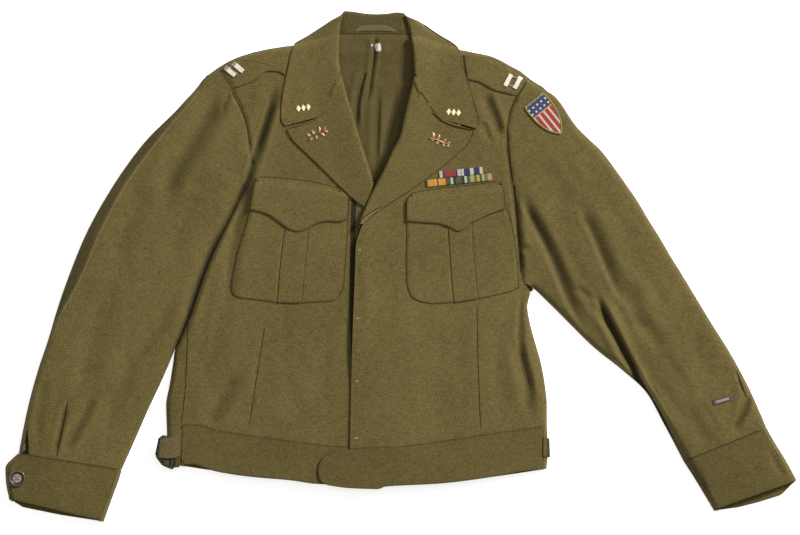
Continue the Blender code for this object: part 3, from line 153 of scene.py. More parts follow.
# Waistband pieces: rows from the seam to the hem, each row from side to front
BAND_RIGHT = [
    [(166.6, 424.8), (200, 424.8), (215, 429.8), (250, 435.2), (290, 440.8), (335, 446), (388, 448.2)],
    [(167, 438), (200, 438), (250, 449.5), (320, 459), (388, 460)],
    [(168.5, 452), (200, 452), (250, 463.5), (320, 472), (388, 473)],
    [(175, 464.8), (194, 464.2), (215, 471), (250, 476.5), (290, 480), (322, 484), (388, 485)],
]
BAND_LEFT = [
    [(547, 425.8), (495, 432.8), (440, 441.2), (400, 446.2), (370, 447.2), (335, 451.2)],
    [(547.5, 436), (470, 447), (400, 456), (350, 458), (322, 458.5)],
    [(548, 448), (470, 460), (400, 468), (350, 470), (318.2, 469.5)],
    [(547.5, 460), (470, 471.5), (400, 478), (350, 480), (319.5, 478.5)],
    [(546.5, 469), (530, 470), (490, 477), (440, 483.3), (385, 486.2), (378, 488.8), (350, 487.8),
     (327, 484.6)],
]
BAND_BACK = [
    [(166.6, 424.8), (338, 440.8), (406, 440.8), (547, 425.8)],
    [(167, 438), (270, 453), (440, 453), (547.5, 436)],
    [(168.5, 452), (270, 466), (440, 466), (548, 452)],
    [(175, 464.8), (215, 471), (290, 480), (350, 484), (440, 482), (546.5, 469)],
]
BAND_SEAM_RIGHT = (23, 22, 19, 14)
BAND_SEAM_LEFT = 6.0

# Lapels: roll x, y, outer x, y, roll present (1) or a flat seam (0)
LAPEL_RIGHT = [
    (341, 73.4, 338.8, 87.4, 1), (343.5, 82, 331, 104.7, 1), (346, 92, 321, 118.9, 1),
    (349.5, 103, 303, 124.9, 1), (353, 114, 287.3, 129.6, 1), (357, 128, 292, 139, 1),
    (361, 142, 307, 153.8, 1), (366, 157, 325, 171.2, 1), (370, 170, 341, 187.4, 1),
    (372.5, 178.5, 355.5, 200.8, 1), (373.4, 185.5, 364.6, 207, 0),
]
LAPEL_LEFT = [
    (413.7, 76.4, 415.2, 88.4, 1), (412.2, 84, 425.6, 106.4, 1), (410, 92, 439.8, 122.6, 1),
    (408, 100, 457, 127.2, 1), (405.5, 110, 473, 130.9, 1), (402.5, 124, 470.3, 140, 1),
    (399.5, 137, 455, 156.2, 1), (392, 151, 437, 170.8, 1), (385, 167, 417, 185.6, 1),
    (377.5, 181.5, 397, 199, 1), (370, 196, 381, 209.2, 1), (364, 210, 371.5, 216.4, 1),
    (358.6, 224, 364.2, 224.6, 1),
]
# Collar leaves, notch to the top of the neck: inner x, y, outer x, y, roll present
LEAF_RIGHT = [
    (319.5, 116.2, 285.5, 126.2, 0), (329.4, 103, 281.3, 118, 0), (334.1, 94, 282, 105, 0),
    (337.5, 85.8, 283.4, 92.5, 0), (340.5, 70.8, 285.6, 80, 1), (339, 60, 288, 69.5, 1),
    (339, 48, 290.4, 58, 1), (339.2, 40, 292.2, 51, 1), (339.4, 36.5, 293.3, 47.8, 1),
    (339.5, 33, 294, 43.9, 1), (341, 23, 308, 35.2, 1), (343.6, 14, 331, 20.2, 1),
]
LEAF_LEFT = [
    (440.6, 118.2, 476.5, 128.8, 0), (427.6, 104.2, 478.5, 119.5, 0), (421.8, 95.6, 475, 107, 0),
    (416.8, 86.7, 471, 94, 0), (414, 73, 467, 80.5, 1), (413.6, 62, 463, 68, 1),
    (412.6, 50, 460.6, 59, 1), (411.4, 41, 459.4, 53, 1), (410.7, 37, 458.2, 49.8, 1),
    (410, 33, 457, 46.5, 1), (407.2, 23, 437, 33.8, 1), (404.4, 15.6, 419, 21, 1),
]
NECK_TOP = [(345, 10.8), (354, 11.6), (365, 13.3), (376, 14), (387, 13.5), (396, 12.2), (403, 12.6)]
NECK_SEAM_Y = 34.0
NECK_MIDDLE = 376.0
NECK_SPAN = (287.0, 463.0)      # where the collar stands past the shoulder line
NECK_LOW = 280.0                # millimetres above the frame's origin
UNDER_COLLAR_Y = 46.0

# Pockets and flaps, rows from top to bottom
POCKET_RIGHT = [
    [(250, 208), (300, 208), (348.5, 207)],
    [(245, 228), (300, 228), (347.8, 228)],
    [(240, 243), (300, 243), (346.8, 243)],
    [(235.5, 260), (300, 260), (345.6, 260)],
    [(232.4, 276), (300, 276), (344.4, 276)],
    [(231, 287), (300, 289), (343, 288)],
    [(233.2, 294.5), (300, 297.5), (339, 296.5)],
    [(240, 297.6), (277, 302.8), (300, 303.4), (334, 301)],
]
POCKET_LEFT = [
    [(407, 208), (455, 208), (505, 205)],
    [(406.8, 228), (455, 228), (512, 225)],
    [(406.5, 246), (455, 246), (515, 243)],
    [(406.2, 262), (455, 262), (517, 259)],
    [(406.4, 277), (455, 277), (518.4, 273)],
    [(408, 289), (455, 289), (518.8, 285)],
    [(411.5, 296.5), (455, 298.5), (516, 289.4)],
    [(419, 301.3), (432, 304), (455, 302.6), (480, 298.8), (505, 292.6)],
]
FLAP_RIGHT_TOP = [(257.2, 177.2), (270, 177.2), (290, 179), (310, 181.5), (328, 185.6), (341, 189.6)]
FLAP_RIGHT_MID = [(253.6, 190), (300, 193.5), (349, 200.5)]
FLAP_RIGHT_END = [
    (250, 209.5), (262, 212), (270, 215.4), (280, 222.4), (291, 230), (299, 231.6), (307, 229), (316, 224),
    (328, 221), (338, 221.8), (348, 218.6),
]
FLAP_LEFT_TOP = [(411, 193.6), (430, 189.6), (450, 187.4), (475, 184.6), (499.5, 181.6)]
FLAP_LEFT_MID = [(406.8, 204), (455, 201), (504, 192)]
FLAP_LEFT_END = [
    (407, 221), (425, 222.5), (438, 223.4), (449, 227), (458, 231.3), (464, 229.4), (471, 223.6),
    (482, 217.8), (493, 213), (505, 209),
]
# Box pleats: left fold x, y, right fold x, y
PLEAT_RIGHT = [(285.5, 226, 308, 226), (281, 262, 304.5, 262), (277.5, 303, 300.5, 303)]
PLEAT_LEFT = [(448, 226, 471, 226), (450.5, 262, 473, 262), (454, 303, 478, 303)]

# Shoulder loops, sleeve seam to collar: upper x, y, lower x, y
LOOP_RIGHT = [
    (219.6, 70.4, 232.4, 89.2), (229.5, 63, 241, 86.4), (239, 59.2, 251, 82.6), (252, 60.2, 260, 77.4),
    (264, 63, 268.5, 71.4), (275, 66.4, 276.6, 71.6), (286.4, 70, 286, 75.6),
]
LOOP_LEFT = [
    (528, 79.8, 516.6, 96.6), (517.5, 71.6, 507, 93.4), (505, 65, 496.5, 91.2), (494.5, 59.4, 487, 86.4),
    (484, 57, 479, 82.2), (472.5, 55.6, 471, 80.2), (464, 54.4, 467.6, 79.6),
]
LINING_ROWS = [
    [(339, 37), (376, 37), (407, 37)], [(332, 60), (374, 60), (420, 60)], [(334, 85), (372, 85), (420, 85)],
    [(342, 110), (371, 110), (414, 110)], [(350, 135), (372, 135), (408, 135)],
    [(357, 160), (374, 160), (398, 160)],
    [(364, 185), (376, 185), (388, 185)],
]

# Large soft troughs (+) and ridges (-), most a little deeper than in the solids: points,
# half width to each side of the line in mm, depth in mm
FOLDS = [
    # body
    ([(276, 82), (275, 95), (268, 118), (261, 138), (254, 158)], 6, 11, 3.06),
    ([(240, 372), (226, 396), (208, 428)], 9, 14, 3.9),
    ([(265, 322), (257, 366), (250, 424)], 1.8, 1.8, 0.9),
    ([(477, 302), (476, 360), (480, 425)], 1.8, 1.8, 0.9),
    ([(516, 338), (521, 362), (528, 392), (530, 420)], 6, 7, 3.6),
    ([(485, 92), (495, 117), (503, 140)], 5, 8, 4.42),
    ([(482, 121), (491, 142)], 4, 6, 2.4),
    ([(330, 320), (322, 370), (326, 415)], 14, 18, 0.96),
    ([(300, 340), (292, 390), (298, 425)], 12, 12, 0.78),
    ([(400, 330), (404, 370), (398, 420)], 14, 20, 0.9),
    ([(440, 330), (438, 380), (444, 420)], 12, 16, 0.84),
    ([(505, 318), (498, 360), (503, 410)], 10, 14, 1.62),
    ([(222, 300), (214, 350), (205, 400)], 12, 14, 1.6),
    ([(246, 170), (243, 200), (232, 240)], 8, 12, 1.8),
    # sleeve at the wearer's right
    ([(220, 92), (214, 112), (203, 130), (192, 150), (176, 176), (166, 208)], 12, 16, 6.8),
    ([(231, 93), (227, 101), (222, 112)], 3, 4, 2.4),
    ([(205, 190), (185, 225), (172, 262)], 10, 14, 2.04),
    ([(150, 190), (128, 228), (112, 262)], 12, 16, 2.6),
    ([(178, 300), (160, 330), (140, 365)], 8, 14, 2.6),
    ([(110, 300), (92, 345), (84, 392)], 14, 16, 2.76),
    ([(140, 350), (120, 390), (108, 440)], 10, 12, 2.16),
    ([(96, 393), (84, 420), (64, 454)], 5, 7, 3.4),
    ([(68, 404), (62, 428), (55, 455)], 2.5, 4, 4.18),
    ([(27, 428), (26.5, 455)], 2, 2.5, 1.92),
    ([(45, 372), (40, 410), (36, 440)], 7, 8, 1.5),
    # sleeve at the wearer's left
    ([(521, 195), (532, 214), (545, 237), (557, 262), (570, 290), (584, 318)], 6, 10, 2.94),
    ([(585, 221), (594, 239), (604, 257), (614, 276)], 7, 10, 1.56),
    ([(600, 298), (608, 318), (616, 333), (626, 352), (638, 370)], 6, 5, 2.5),
    ([(575, 287), (592, 299)], 4, 5, 2.4),
    ([(622, 280), (634, 305), (642, 332)], 10, 14, 3.08),
    ([(640, 318), (652, 333), (664, 350)], 8, 10, 2.34),
    ([(545, 160), (556, 186), (572, 208)], 14, 18, 2.16),
    ([(522, 246), (529, 251)], 4, 4, 3.24),
    ([(690, 330), (702, 356), (712, 384)], 12, 16, 2.16),
    ([(752, 394), (744, 412), (734, 432)], 4, 6, 4.18),
    ([(680, 400), (700, 430), (716, 448)], 10, 12, 1.92),
    ([(736, 370), (741, 386), (746, 398)], 1.8, 2.2, 1.8),
]
# Armhole seams pressed in: points, half width and depth in mm
SEAM_GROOVES = [
    ([(233, 92), (242, 110), (248, 130), (250, 148), (252, 163)], 2.4, 1.87),
    ([(516, 99), (509, 116), (507, 132), (507, 150), (510, 172), (513, 198), (516, 222), (519, 250),
      (522, 280)], 2.8, 2.72),
]
LINING_FOLDS = [
    ([(376, 34), (374.6, 55), (371.5, 78), (369, 100)], 2.2, 3.5, 1.6),
    ([(367, 70), (361, 86), (357.5, 106), (357, 128)], 2.5, 5, 1.8),
    ([(378, 90), (377, 130), (376, 165)], 3, 5, 1.1),
    ([(396, 90), (390, 130), (382, 160)], 4, 6, 1.0),
]

# Trim: places in layout units, sizes in mm, angles in degrees from X
RANK_BAR = (17.5, 5.6)
LYING = 0.36            # height of the foot of a pin or bar above the cloth below it
RANK_BARS = [
    ("rank_bar_right_a", 230.4, 71.8, -40), ("rank_bar_right_b", 238.4, 67.8, -40),
    ("rank_bar_left_a", 508, 80.5, 62), ("rank_bar_left_b", 517.5, 83, 62),
]
RIBBON_TALL = 9.8
RIBBON_BARS = [("ribbon_bar_upper", 460.8, 172.7, 62, 5.6), ("ribbon_bar_lower", 458.7, 180.4, 94, 6)]
SHIELD_OUTLINE = [(0, 0.94), (0.12, 1.0), (0.4, 0.98), (0.62, 0.84), (0.8, 0.58), (0.92, 0.3), (1.0, 0.05)]
PATCH_ANGLE = 39.0
BUTTON_RADIUS = 11.5
BUCKLE_Z = 16.8
BUCKLE_BAR = 1.1


# Fine creases that the cloth has beside its large folds: points, half widths in mm, depth in mm
CREASES = [
    ([(274, 92), (271, 106), (266, 122), (260, 140), (254.5, 157), (250.5, 170), (246, 186), (241, 198)],
     5.5, 3.4, 5.0),
    ([(250, 172), (245, 196), (238, 226), (232, 256), (229, 288), (226, 316)], 9, 8, 2.6),
    ([(246, 176), (236, 198), (222, 228), (208, 258), (197, 290), (188, 318), (180, 340)], 5, 8, 3.0),
    ([(519, 188), (524, 202), (532, 219), (542, 238), (552, 259), (561, 281), (570, 303), (578, 318),
      (586, 331)], 8, 3.5, 4.6),
    ([(553, 232), (563, 252), (573, 275), (583, 298), (590, 318)], 9, 8, 1.5),
    ([(580, 205), (585, 218), (592, 230), (599, 246), (607, 266), (616, 287), (624, 301)], 10, 4, 4.4),
    ([(595, 290), (603, 309), (610, 323), (619, 340), (627, 356), (634.5, 369), (641.5, 383), (650, 398),
      (662, 418), (676, 446)], 3.0, 6.5, 8.2),
    ([(604, 296), (614, 318), (624, 338), (634, 357), (643, 374), (653, 391)], 5, 5, -1.6),
    ([(521.5, 286), (520.5, 310), (519, 335), (522, 355), (528, 380), (533, 406)], 5, 3.0, 3.2),
    ([(514, 184), (517.5, 222), (519.6, 250), (521, 278)], 4.5, 3.0, 3.4),
    ([(770, 452), (778, 466), (784, 478)], 4, 5, 1.6),
    ([(356, 262), (362, 300), (360, 345)], 4, 9, 0.7),
    ([(372, 250), (378, 300), (374, 350)], 7, 9, 0.5),
    ([(210, 300), (203, 335), (196, 372)], 4, 7, 1.0),
    ([(290, 312), (284, 350), (288, 400)], 6, 8, 0.6),
    ([(352, 312), (346, 352), (341, 392)], 8, 8, 0.7),
    ([(420, 318), (424, 362), (419, 412)], 7, 9, 0.6),
    ([(462, 312), (458, 352), (463, 402)], 6, 8, 0.6),
    ([(180, 342), (182, 372), (178, 402)], 4, 5, 0.9),
    ([(268, 132), (262, 150), (258, 168)], 4, 6, 0.9),
    ([(242, 120), (246, 138), (250, 158)], 4, 5, 0.8),
    ([(300, 60), (296, 76), (291, 92)], 6, 6, 0.6),
    ([(212, 150), (197, 178), (182, 214)], 6, 8, 0.9),
    ([(160, 150), (142, 176), (124, 206)], 6, 8, 0.7),
    ([(222, 196), (206, 228), (192, 258)], 6, 8, 0.8),
    ([(132, 246), (116, 278), (104, 312)], 7, 9, 0.8),
    ([(88, 286), (76, 318), (64, 350)], 6, 8, 0.8),
    ([(150, 340), (132, 372), (122, 402)], 6, 7, 0.8),
    ([(72, 352), (62, 382), (52, 412)], 5, 7, 0.8),
    ([(112, 420), (108, 440), (104, 458)], 3, 4, 0.8),
    ([(40, 420), (40, 440), (38, 454)], 3, 4, 0.8),
    ([(560, 150), (572, 172), (586, 192)], 6, 8, 0.8),
    ([(600, 190), (616, 216), (634, 242)], 7, 9, 0.7),
    ([(530, 190), (542, 214), (556, 240)], 5, 5, 0.9),
    ([(640, 262), (655, 288), (668, 312)], 6, 8, 0.8),
    ([(586, 300), (600, 316), (612, 330)], 4, 5, 1.2),
    ([(612, 296), (624, 318), (634, 338)], 4, 5, 1.2),
    ([(664, 352), (676, 372), (690, 392)], 5, 7, 0.9),
    ([(700, 402), (712, 420), (722, 436)], 4, 6, 0.9),
    ([(728, 380), (732, 402), (730, 424)], 4, 5, 0.8),
    ([(660, 382), (674, 404), (688, 430)], 5, 6, 0.8),
]


def place(points):
    """Plan millimetres of points in layout units."""
    a = np.asarray(points, float)
    return np.stack([(a[..., 0] - UNIT_X0) * UNIT_MM, (UNIT_Y0 - a[..., 1]) * UNIT_MM], axis=-1)


def layout(xy):
    """Layout x and y of plan points in millimetres."""
    return xy[..., 0] / UNIT_MM + UNIT_X0, UNIT_Y0 - xy[..., 1] / UNIT_MM


def cumulative(p, axis=0):
    """How far along its line, column or row each point is."""
    step = np.linalg.norm(np.diff(p, axis=axis), axis=-1)
    zero = np.zeros_like(np.take(step, [0], axis=axis))
    return np.concatenate([zero, np.cumsum(step, axis=axis)], axis=axis)


def length(line):
    return float(cumulative(line)[-1])


def at_distances(line, want):
    at = cumulative(line)
    return np.stack([np.interp(want, at, line[:, k]) for k in range(line.shape[1])], axis=-1)


def spread(line, count):
    """Evenly spaced points along a line."""
    line = np.asarray(line, float)
    return at_distances(line, np.linspace(0, length(line), count))


def smooth(rows, where):
    """Values at fractional row numbers on a curve through all rows that never overshoots."""
    rows = np.asarray(rows, float)
    n = len(rows)
    where = np.clip(np.asarray(where, float), 0, n - 1)
    step = np.diff(rows, axis=0)
    slope = np.zeros_like(rows)
    if n > 2:
        a, b = step[:-1], step[1:]
        same = a * b > 0
        slope[1:-1] = np.where(same, 2 * a * b / np.where(same, a + b, 1), 0)
        slope[0] = np.clip(1.5 * step[0] - 0.5 * slope[1], -3 * np.abs(step[0]), 3 * np.abs(step[0]))
        slope[-1] = np.clip(1.5 * step[-1] - 0.5 * slope[-2], -3 * np.abs(step[-1]), 3 * np.abs(step[-1]))
    else:
        slope[:] = step[0]
    low = np.minimum(where.astype(int), n - 2)
    t = (where - low).reshape((-1,) + (1,) * (rows.ndim - 1))
    h00 = 2 * t ** 3 - 3 * t ** 2 + 1
    h10 = t ** 3 - 2 * t ** 2 + t
    h01 = 3 * t ** 2 - 2 * t ** 3
    h11 = t ** 3 - t ** 2
    return h00 * rows[low] + h10 * slope[low] + h01 * rows[low + 1] + h11 * slope[low + 1]


def curve(points, fine=4):
    """A smooth plan line in millimetres through points in layout units."""
    points = np.asarray(points, float)
    return smooth(place(points), np.linspace(0, len(points) - 1, (len(points) - 1) * fine + 1))


def along(line, distance):
    """Points at distances along a line; its first stretch goes on straight before the start."""
    distance = np.asarray(distance, float)
    out = at_distances(line, distance)
    first = line[1] - line[0]
    before = distance < 0
    out[before] = line[0] + first / max(np.linalg.norm(first), 1e-9) * distance[before, None]
    return out


def nearest(xy, line, reach=REACH):
    """Distance to a plan line, side (+ left of travel), share of its length at the nearest point."""
    flat = xy.reshape(-1, 2)
    a = line[:-1]
    d = np.diff(line, axis=0)
    size = np.maximum((d * d).sum(1), 1e-12)
    run = np.sqrt(size)
    gone = np.concatenate([[0], np.cumsum(run)[:-1]])
    total = max(run.sum(), 1e-9)
    low, high = np.minimum(a, line[1:]), np.maximum(a, line[1:])
    dist = np.full(len(flat), reach)
    side = np.zeros(len(flat))
    share = np.zeros(len(flat))
    for start in range(0, len(flat), 2048):
        part = flat[start:start + 2048]
        p_low, p_high = part.min(0), part.max(0)
        off = np.maximum(np.maximum(low - p_high, p_low - high), 0)
        keep = np.nonzero((off * off).sum(1) < reach * reach)[0]
        if len(keep) == 0:
            continue
        rel = part[:, None, :] - a[None, keep]
        t = np.clip((rel * d[keep]).sum(2) / size[keep], 0, 1)
        away = rel - t[..., None] * d[keep]
        square = (away * away).sum(2)
        pick = square.argmin(1)
        rows = np.arange(len(part))
        best = np.sqrt(square[rows, pick])
        k = keep[pick]
        w = away[rows, pick]
        dist[start:start + 2048] = np.minimum(best, reach)
        side[start:start + 2048] = np.sign(d[k, 0] * w[:, 1] - d[k, 1] * w[:, 0])
        share[start:start + 2048] = (gone[k] + t[rows, pick] * run[k]) / total
    shape = xy.shape[:-1]
    return dist.reshape(shape), side.reshape(shape), share.reshape(shape)


def ease(t):
    t = np.clip(t, 0, 1)
    return t * t * (3 - 2 * t)


def quarter(t):
    """A quarter round: 0 to 1, upright at 0 and level at 1."""
    return np.sqrt(np.clip(1 - (1 - np.clip(t, 0, 1)) ** 2, 0, 1))


def window(v, start, rise, stop, fall):
    """1 between start and stop, coming in over rise and going out over fall."""
    return ease((v - start) / rise) * ease((stop - v) / fall)


def paired(table):
    """The two plan points that begin each row of a table."""
    return place(np.array([row[:4] for row in table], float).reshape(-1, 2, 2))


def sideways(line):
    """Unit vectors to the left of a plan line."""
    t = np.gradient(line, axis=0)
    return np.stack([-t[:, 1], t[:, 0]], axis=1) / np.linalg.norm(t, axis=1, keepdims=True)


def banded(line, half, cols):
    """Plan points on both sides of a line: half is the half width, one value or one for each point."""
    half = np.broadcast_to(np.asarray(half, float), (len(line),))
    off = half[:, None, None] * np.linspace(-1, 1, cols)[None, :, None]
    return line[:, None] + sideways(line)[:, None] * off


def lattice(ix, iy, seed):
    n = (ix * 374761393 + iy * 668265263 + seed * 974711) & 0x7FFFFFFF
    n = ((n ^ (n >> 13)) * 1274126177) & 0x7FFFFFFF
    return ((n ^ (n >> 16)) & 0xFFFF) / 32767.5 - 1.0


def rumple(xy, size, seed):
    """Smooth value noise of -1 to 1 with features of the given size in mm."""
    p = xy / size
    i = np.floor(p).astype(np.int64)
    f = p - i
    f = f * f * (3 - 2 * f)
    c = [[lattice(i[..., 0] + a, i[..., 1] + b, seed) for b in (0, 1)] for a in (0, 1)]
    x0 = c[0][0] * (1 - f[..., 1]) + c[0][1] * f[..., 1]
    x1 = c[1][0] * (1 - f[..., 1]) + c[1][1] * f[..., 1]
    return x0 * (1 - f[..., 0]) + x1 * f[..., 0]


# Heights
def rolled_edges():
    """The outer borders at which the cloth turns down to the surface."""
    def outer(sleeve, cuff):
        return [sleeve[0][:2]] + [r[2:4] for r in sleeve + cuff]

    def inner(sleeve, cuff, first):
        return [r[:2] for r in sleeve[first:] + cuff]

    lines = [
        [(175, 466), (168.5, 452), (167, 438)] + [r[:2] for r in BODY_SIDE_RIGHT[:12]],
        [(546.5, 470), (548, 448)] + [r[:2] for r in BODY_SIDE_LEFT[:8]],
        SHOULDER_RIGHT,
        SHOULDER_LEFT,
        outer(SLEEVE_RIGHT, CUFF_RIGHT_TOP),
        inner(SLEEVE_RIGHT, CUFF_RIGHT_TOP, 7),
        outer(SLEEVE_LEFT, CUFF_LEFT_TOP),
        inner(SLEEVE_LEFT, CUFF_LEFT_TOP, 11),
    ]
    return [curve(line, 3) for line in lines]


EDGES = rolled_edges()
SHOULDERS = [curve([sleeve[0][2:4]] + line, 3)
             for sleeve, line in ((SLEEVE_RIGHT, SHOULDER_RIGHT), (SLEEVE_LEFT, SHOULDER_LEFT))]


def fold_sum(xy, folds):
    total = np.zeros(xy.shape[:-1])
    for points, wide_left, wide_right, depth in folds:
        wide_max = max(wide_left, wide_right)
        dist, side, share = nearest(xy, curve(points), 4.5 * wide_max)
        wide = np.where(side >= 0, wide_left, wide_right)
        shape = np.exp(-(dist / wide) ** 2) - 0.35 * np.exp(-((dist - 2.1 * wide) / wide) ** 2)
        shape = shape * (dist < 4.45 * wide_max)
        ends = ease(share / FOLD_ENDS) * ease((1 - share) / FOLD_ENDS)
        total -= depth * shape * (0.12 + 0.88 * ends)
    return total


FIELD_LOW = np.array([-575.0, -375.0])      # corner of the tabled fields, in plan millimetres
FIELD_HIGH = np.array([576.0, 376.0])
FIELD_STEP = 2.0


def field_points():
    x, y = (np.arange(low, high, FIELD_STEP) for low, high in zip(FIELD_LOW, FIELD_HIGH))
    return np.stack(np.meshgrid(x, y, indexing="ij"), axis=-1)


def from_field(table, xy):
    """A tabled value at plan points, between the four nearest grid points."""
    p = np.clip((xy - FIELD_LOW) / FIELD_STEP, 0, np.array(table.shape) - 1.001)
    i = p.astype(int)
    u, v = np.moveaxis(p - i, -1, 0)
    x, y = i[..., 0], i[..., 1]
    near = table[x, y] * (1 - u) + table[x + 1, y] * u
    far = table[x, y + 1] * (1 - u) + table[x + 1, y + 1] * u
    return near * (1 - v) + far * v


def inset_points(rows, side):
    """The seam line of a sleeve's rows on their inner (0) or outer (1) side."""
    out = []
    for r in rows:
        ends = np.array(r[:4], float).reshape(2, 2)
        a, b = ends[side], ends[1 - side]
        out.append(tuple(a + (b - a) / np.linalg.norm(b - a) * r[6 if side else 4] / UNIT_MM))
    return out


# Where a sleeve lies turned to its back: the line of its highest fold, number of the rolled side,
# depth at that side, shade
TURNED = [
    (inset_points(SLEEVE_RIGHT[1:15], 1), 4, 8.0, 3.1),
    ([(628, 366), (650, 387.5), (672.5, 421), (692, 457.5), (701, 470), (709, 487), (716, 504)], 7, 7.0, 1.8),
]
TURNED_REACH = 40       # how far a turned side reaches; an integer, so its distances are whole millimetres
TONE_CELLS = 6          # reach of the mean against which a place counts as deep, in cells of the field
BORDER_SHADE = (3.8, 3.2)        # painted shade along the line between body and right sleeve: its darkness, its half width
RUMPLES = ((0.13, 46, 1), (0.11, 21, 2))        # soft unevenness: height, size, seed


def fold_field():
    """Fold heights, and beside them how deep each place lies in a fold, for the painted shade in folds and
    the painted highlight on ridges.
    """
    xy = field_points()
    total = fold_sum(xy, FOLDS + CREASES)
    shade, level = np.zeros(total.shape), total
    for points, edge, depth, dark in TURNED:
        off, side, share = nearest(xy, curve(points), TURNED_REACH)
        rim = nearest(xy, EDGES[edge], TURNED_REACH)[0]
        strip = (side < 0) & (np.maximum(off, rim) < TURNED_REACH - 1)
        ends = ease(share / 0.1) * ease((1 - share) / 0.12)
        total = total - np.where(strip, depth * ends * off / np.maximum(off + rim, 1e-6), 0)
        shade += np.where(strip, dark * ends * ease(off / 3), 0)
    for points, wide, depth in SEAM_GROOVES:
        groove = depth * np.exp(-(nearest(xy, curve(points), 30)[0] / wide) ** 2)
        total, level = total - groove, level - groove
    # painted shade: places lower than the mean around them, and the turned strips, get a darker colour;
    # places higher than it get a painted highlight
    tone = blurred(level, TONE_CELLS) - level + shade
    # painted shade along the line where body and right sleeve meet
    border = nearest(xy, curve([r[:2] for r in BODY_SIDE_RIGHT[3:12]]), 30)[0]
    tone += BORDER_SHADE[0] * np.exp(-(border / BORDER_SHADE[1]) ** 2)
    for tall, size, seed in RUMPLES:
        total += tall * rumple(xy, size, seed)
    return total, tone


def blurred(table, reach):
    """Mean over a square of 2 reach + 1 cells, twice."""
    wide = 2 * reach + 1
    for axis in (0, 1, 0, 1):
        pad = [(reach + 1, reach) if k == axis else (0, 0) for k in (0, 1)]
        run = np.cumsum(np.pad(table, pad, mode="edge"), axis=axis)
        first = np.arange(table.shape[axis])
        table = (np.take(run, wide + first, axis=axis) - np.take(run, first, axis=axis)) / wide
    return table


def edge_field():
    """Distance to the nearest rolled side, on every second point of the field."""
    xy = field_points()[::2, ::2]
    return np.min([nearest(xy, line)[0] for line in EDGES], axis=0)


FOLD_FIELD, PAINTED_SHADE_FIELD = fold_field()
EDGE_FIELD = edge_field()
EXACT = 26.0            # within this distance of a rolled side the distance is worked out anew


def edge_distance(xy):
    """Distance to the nearest rolled side: exact near it, from the table further in."""
    d = from_field(EDGE_FIELD, FIELD_LOW + (xy - FIELD_LOW) / 2)
    close = d < EXACT
    if close.any():
        best = np.min([nearest(xy[close], line, 40)[0] for line in EDGES], axis=0)
        d[close] = np.where(best < EXACT, best, d[close])
    return d


def height(xy, rise=0.0, outset=0.0):
    """Height of the upper cloth's outer face. outset: how far a layer on it reaches past a rolled edge."""
    d = edge_distance(xy)
    x = layout(xy)[0]
    near_neck = (x > NECK_SPAN[0]) & (x < NECK_SPAN[1]) & (xy[..., 1] > NECK_LOW)
    if near_neck.any():
        part, px, inner = xy[near_neck], x[near_neck], d[near_neck]
        for line, outer in zip(SHOULDERS, (1, -1)):
            off, side, _ = nearest(part, line)
            inner = np.where((side * outer > 0) & (outer * (NECK_MIDDLE - px) > 0), -off, inner)
        d[near_neck] = inner
    crown = CROWN * (1 - np.exp(-d / CROWN_REACH))
    top = CREST + crown + from_field(FOLD_FIELD, xy) + 0.06 * rumple(xy, 9, 3)
    top = LOWEST + np.logaddexp(0, (top - LOWEST) * 1.2) / 1.2 + rise
    reach = max(rise, outset)
    return ROLL_MID + (top - ROLL_MID) * quarter((d + reach) / (ROLL_WIDE + reach))


# Where the upper front gapes and where the back is raised, in layout units: start, rise, stop and fall
GAPE_X, GAPE_Y = (338, 10, 392, 34), (196, 30, 392, 60)
RAISED_X = (318, 18, 430, 18)
RAISED_Y = (66, 16)     # lower end and fall


def lapped(xy):
    """Rise of the upper front over the lower one."""
    x, y = layout(xy)
    return FRONT_LAP * (1 - ease((x - 392) / 60)) + FRONT_GAPE * window(x, *GAPE_X) * window(y, *GAPE_Y)


def neck_lift(xy):
    """Rise of the back over the turned-under collar."""
    x, y = layout(xy)
    return NECK_LIFT * window(x, *RAISED_X) * ease((RAISED_Y[0] - y) / RAISED_Y[1])


def upper_front(xy):
    return height(xy) + lapped(xy)


def band_top(xy):
    z = height(xy)
    return z + BAND_RISE * np.minimum(1, (z - ROLL_MID) / BAND_EASE)


def upper_band_top(xy):
    return band_top(xy) + lapped(xy) * BAND_LAP


def on_surface(xy):
    return np.zeros(xy.shape[:-1])


def underside(xy):
    """Height of the under sheets: flat, but for the neck and the turn at the shoulder seams."""
    d = np.minimum(*(nearest(xy, line, 40)[0] for line in SHOULDERS))
    turned_up = (ROLL_MID - SHOULDER_GAP) * (1 - quarter(d / ROLL_WIDE))
    return np.maximum(neck_lift(xy), turned_up)


def with_height(xy, z):
    z = np.broadcast_to(np.asarray(z, float), xy.shape[:-1])
    return np.concatenate([xy, z[..., None]], axis=-1)


# Meshes
# Border columns of a sheet, as shares of the radius of its turned edge
ROUND = (0.0, 0.04, 0.16, 0.45, 1.0)


def border(points, axis, half):
    """Adds the close columns of a rounded border at both ends of an axis; half: a radius for either end."""
    p = np.moveaxis(points, axis, 0)
    for radius in half:
        step = np.maximum(np.linalg.norm(p[1] - p[0], axis=-1, keepdims=True), 1e-6)
        new = [p[0] + (p[1] - p[0]) * np.minimum(s * radius / step, 0.2 + 0.6 * s) for s in ROUND]
        p = np.concatenate([np.array(new), p[1:]])[::-1]
    return np.moveaxis(p, 0, axis)


def surface_normals(p):
    n = np.cross(np.gradient(p, axis=1), np.gradient(p, axis=0))
    return n / np.maximum(np.linalg.norm(n, axis=-1, keepdims=True), 1e-9)


def quads(index):
    """Faces of a grid of vertex numbers."""
    return np.stack([index[:-1, :-1], index[:-1, 1:], index[1:, 1:], index[1:, :-1]], axis=-1).reshape(-1, 4)


def corner_vertices(mesh):
    corners = np.empty(len(mesh.loops), np.int32)
    mesh.loops.foreach_get("vertex_index", corners)
    return corners


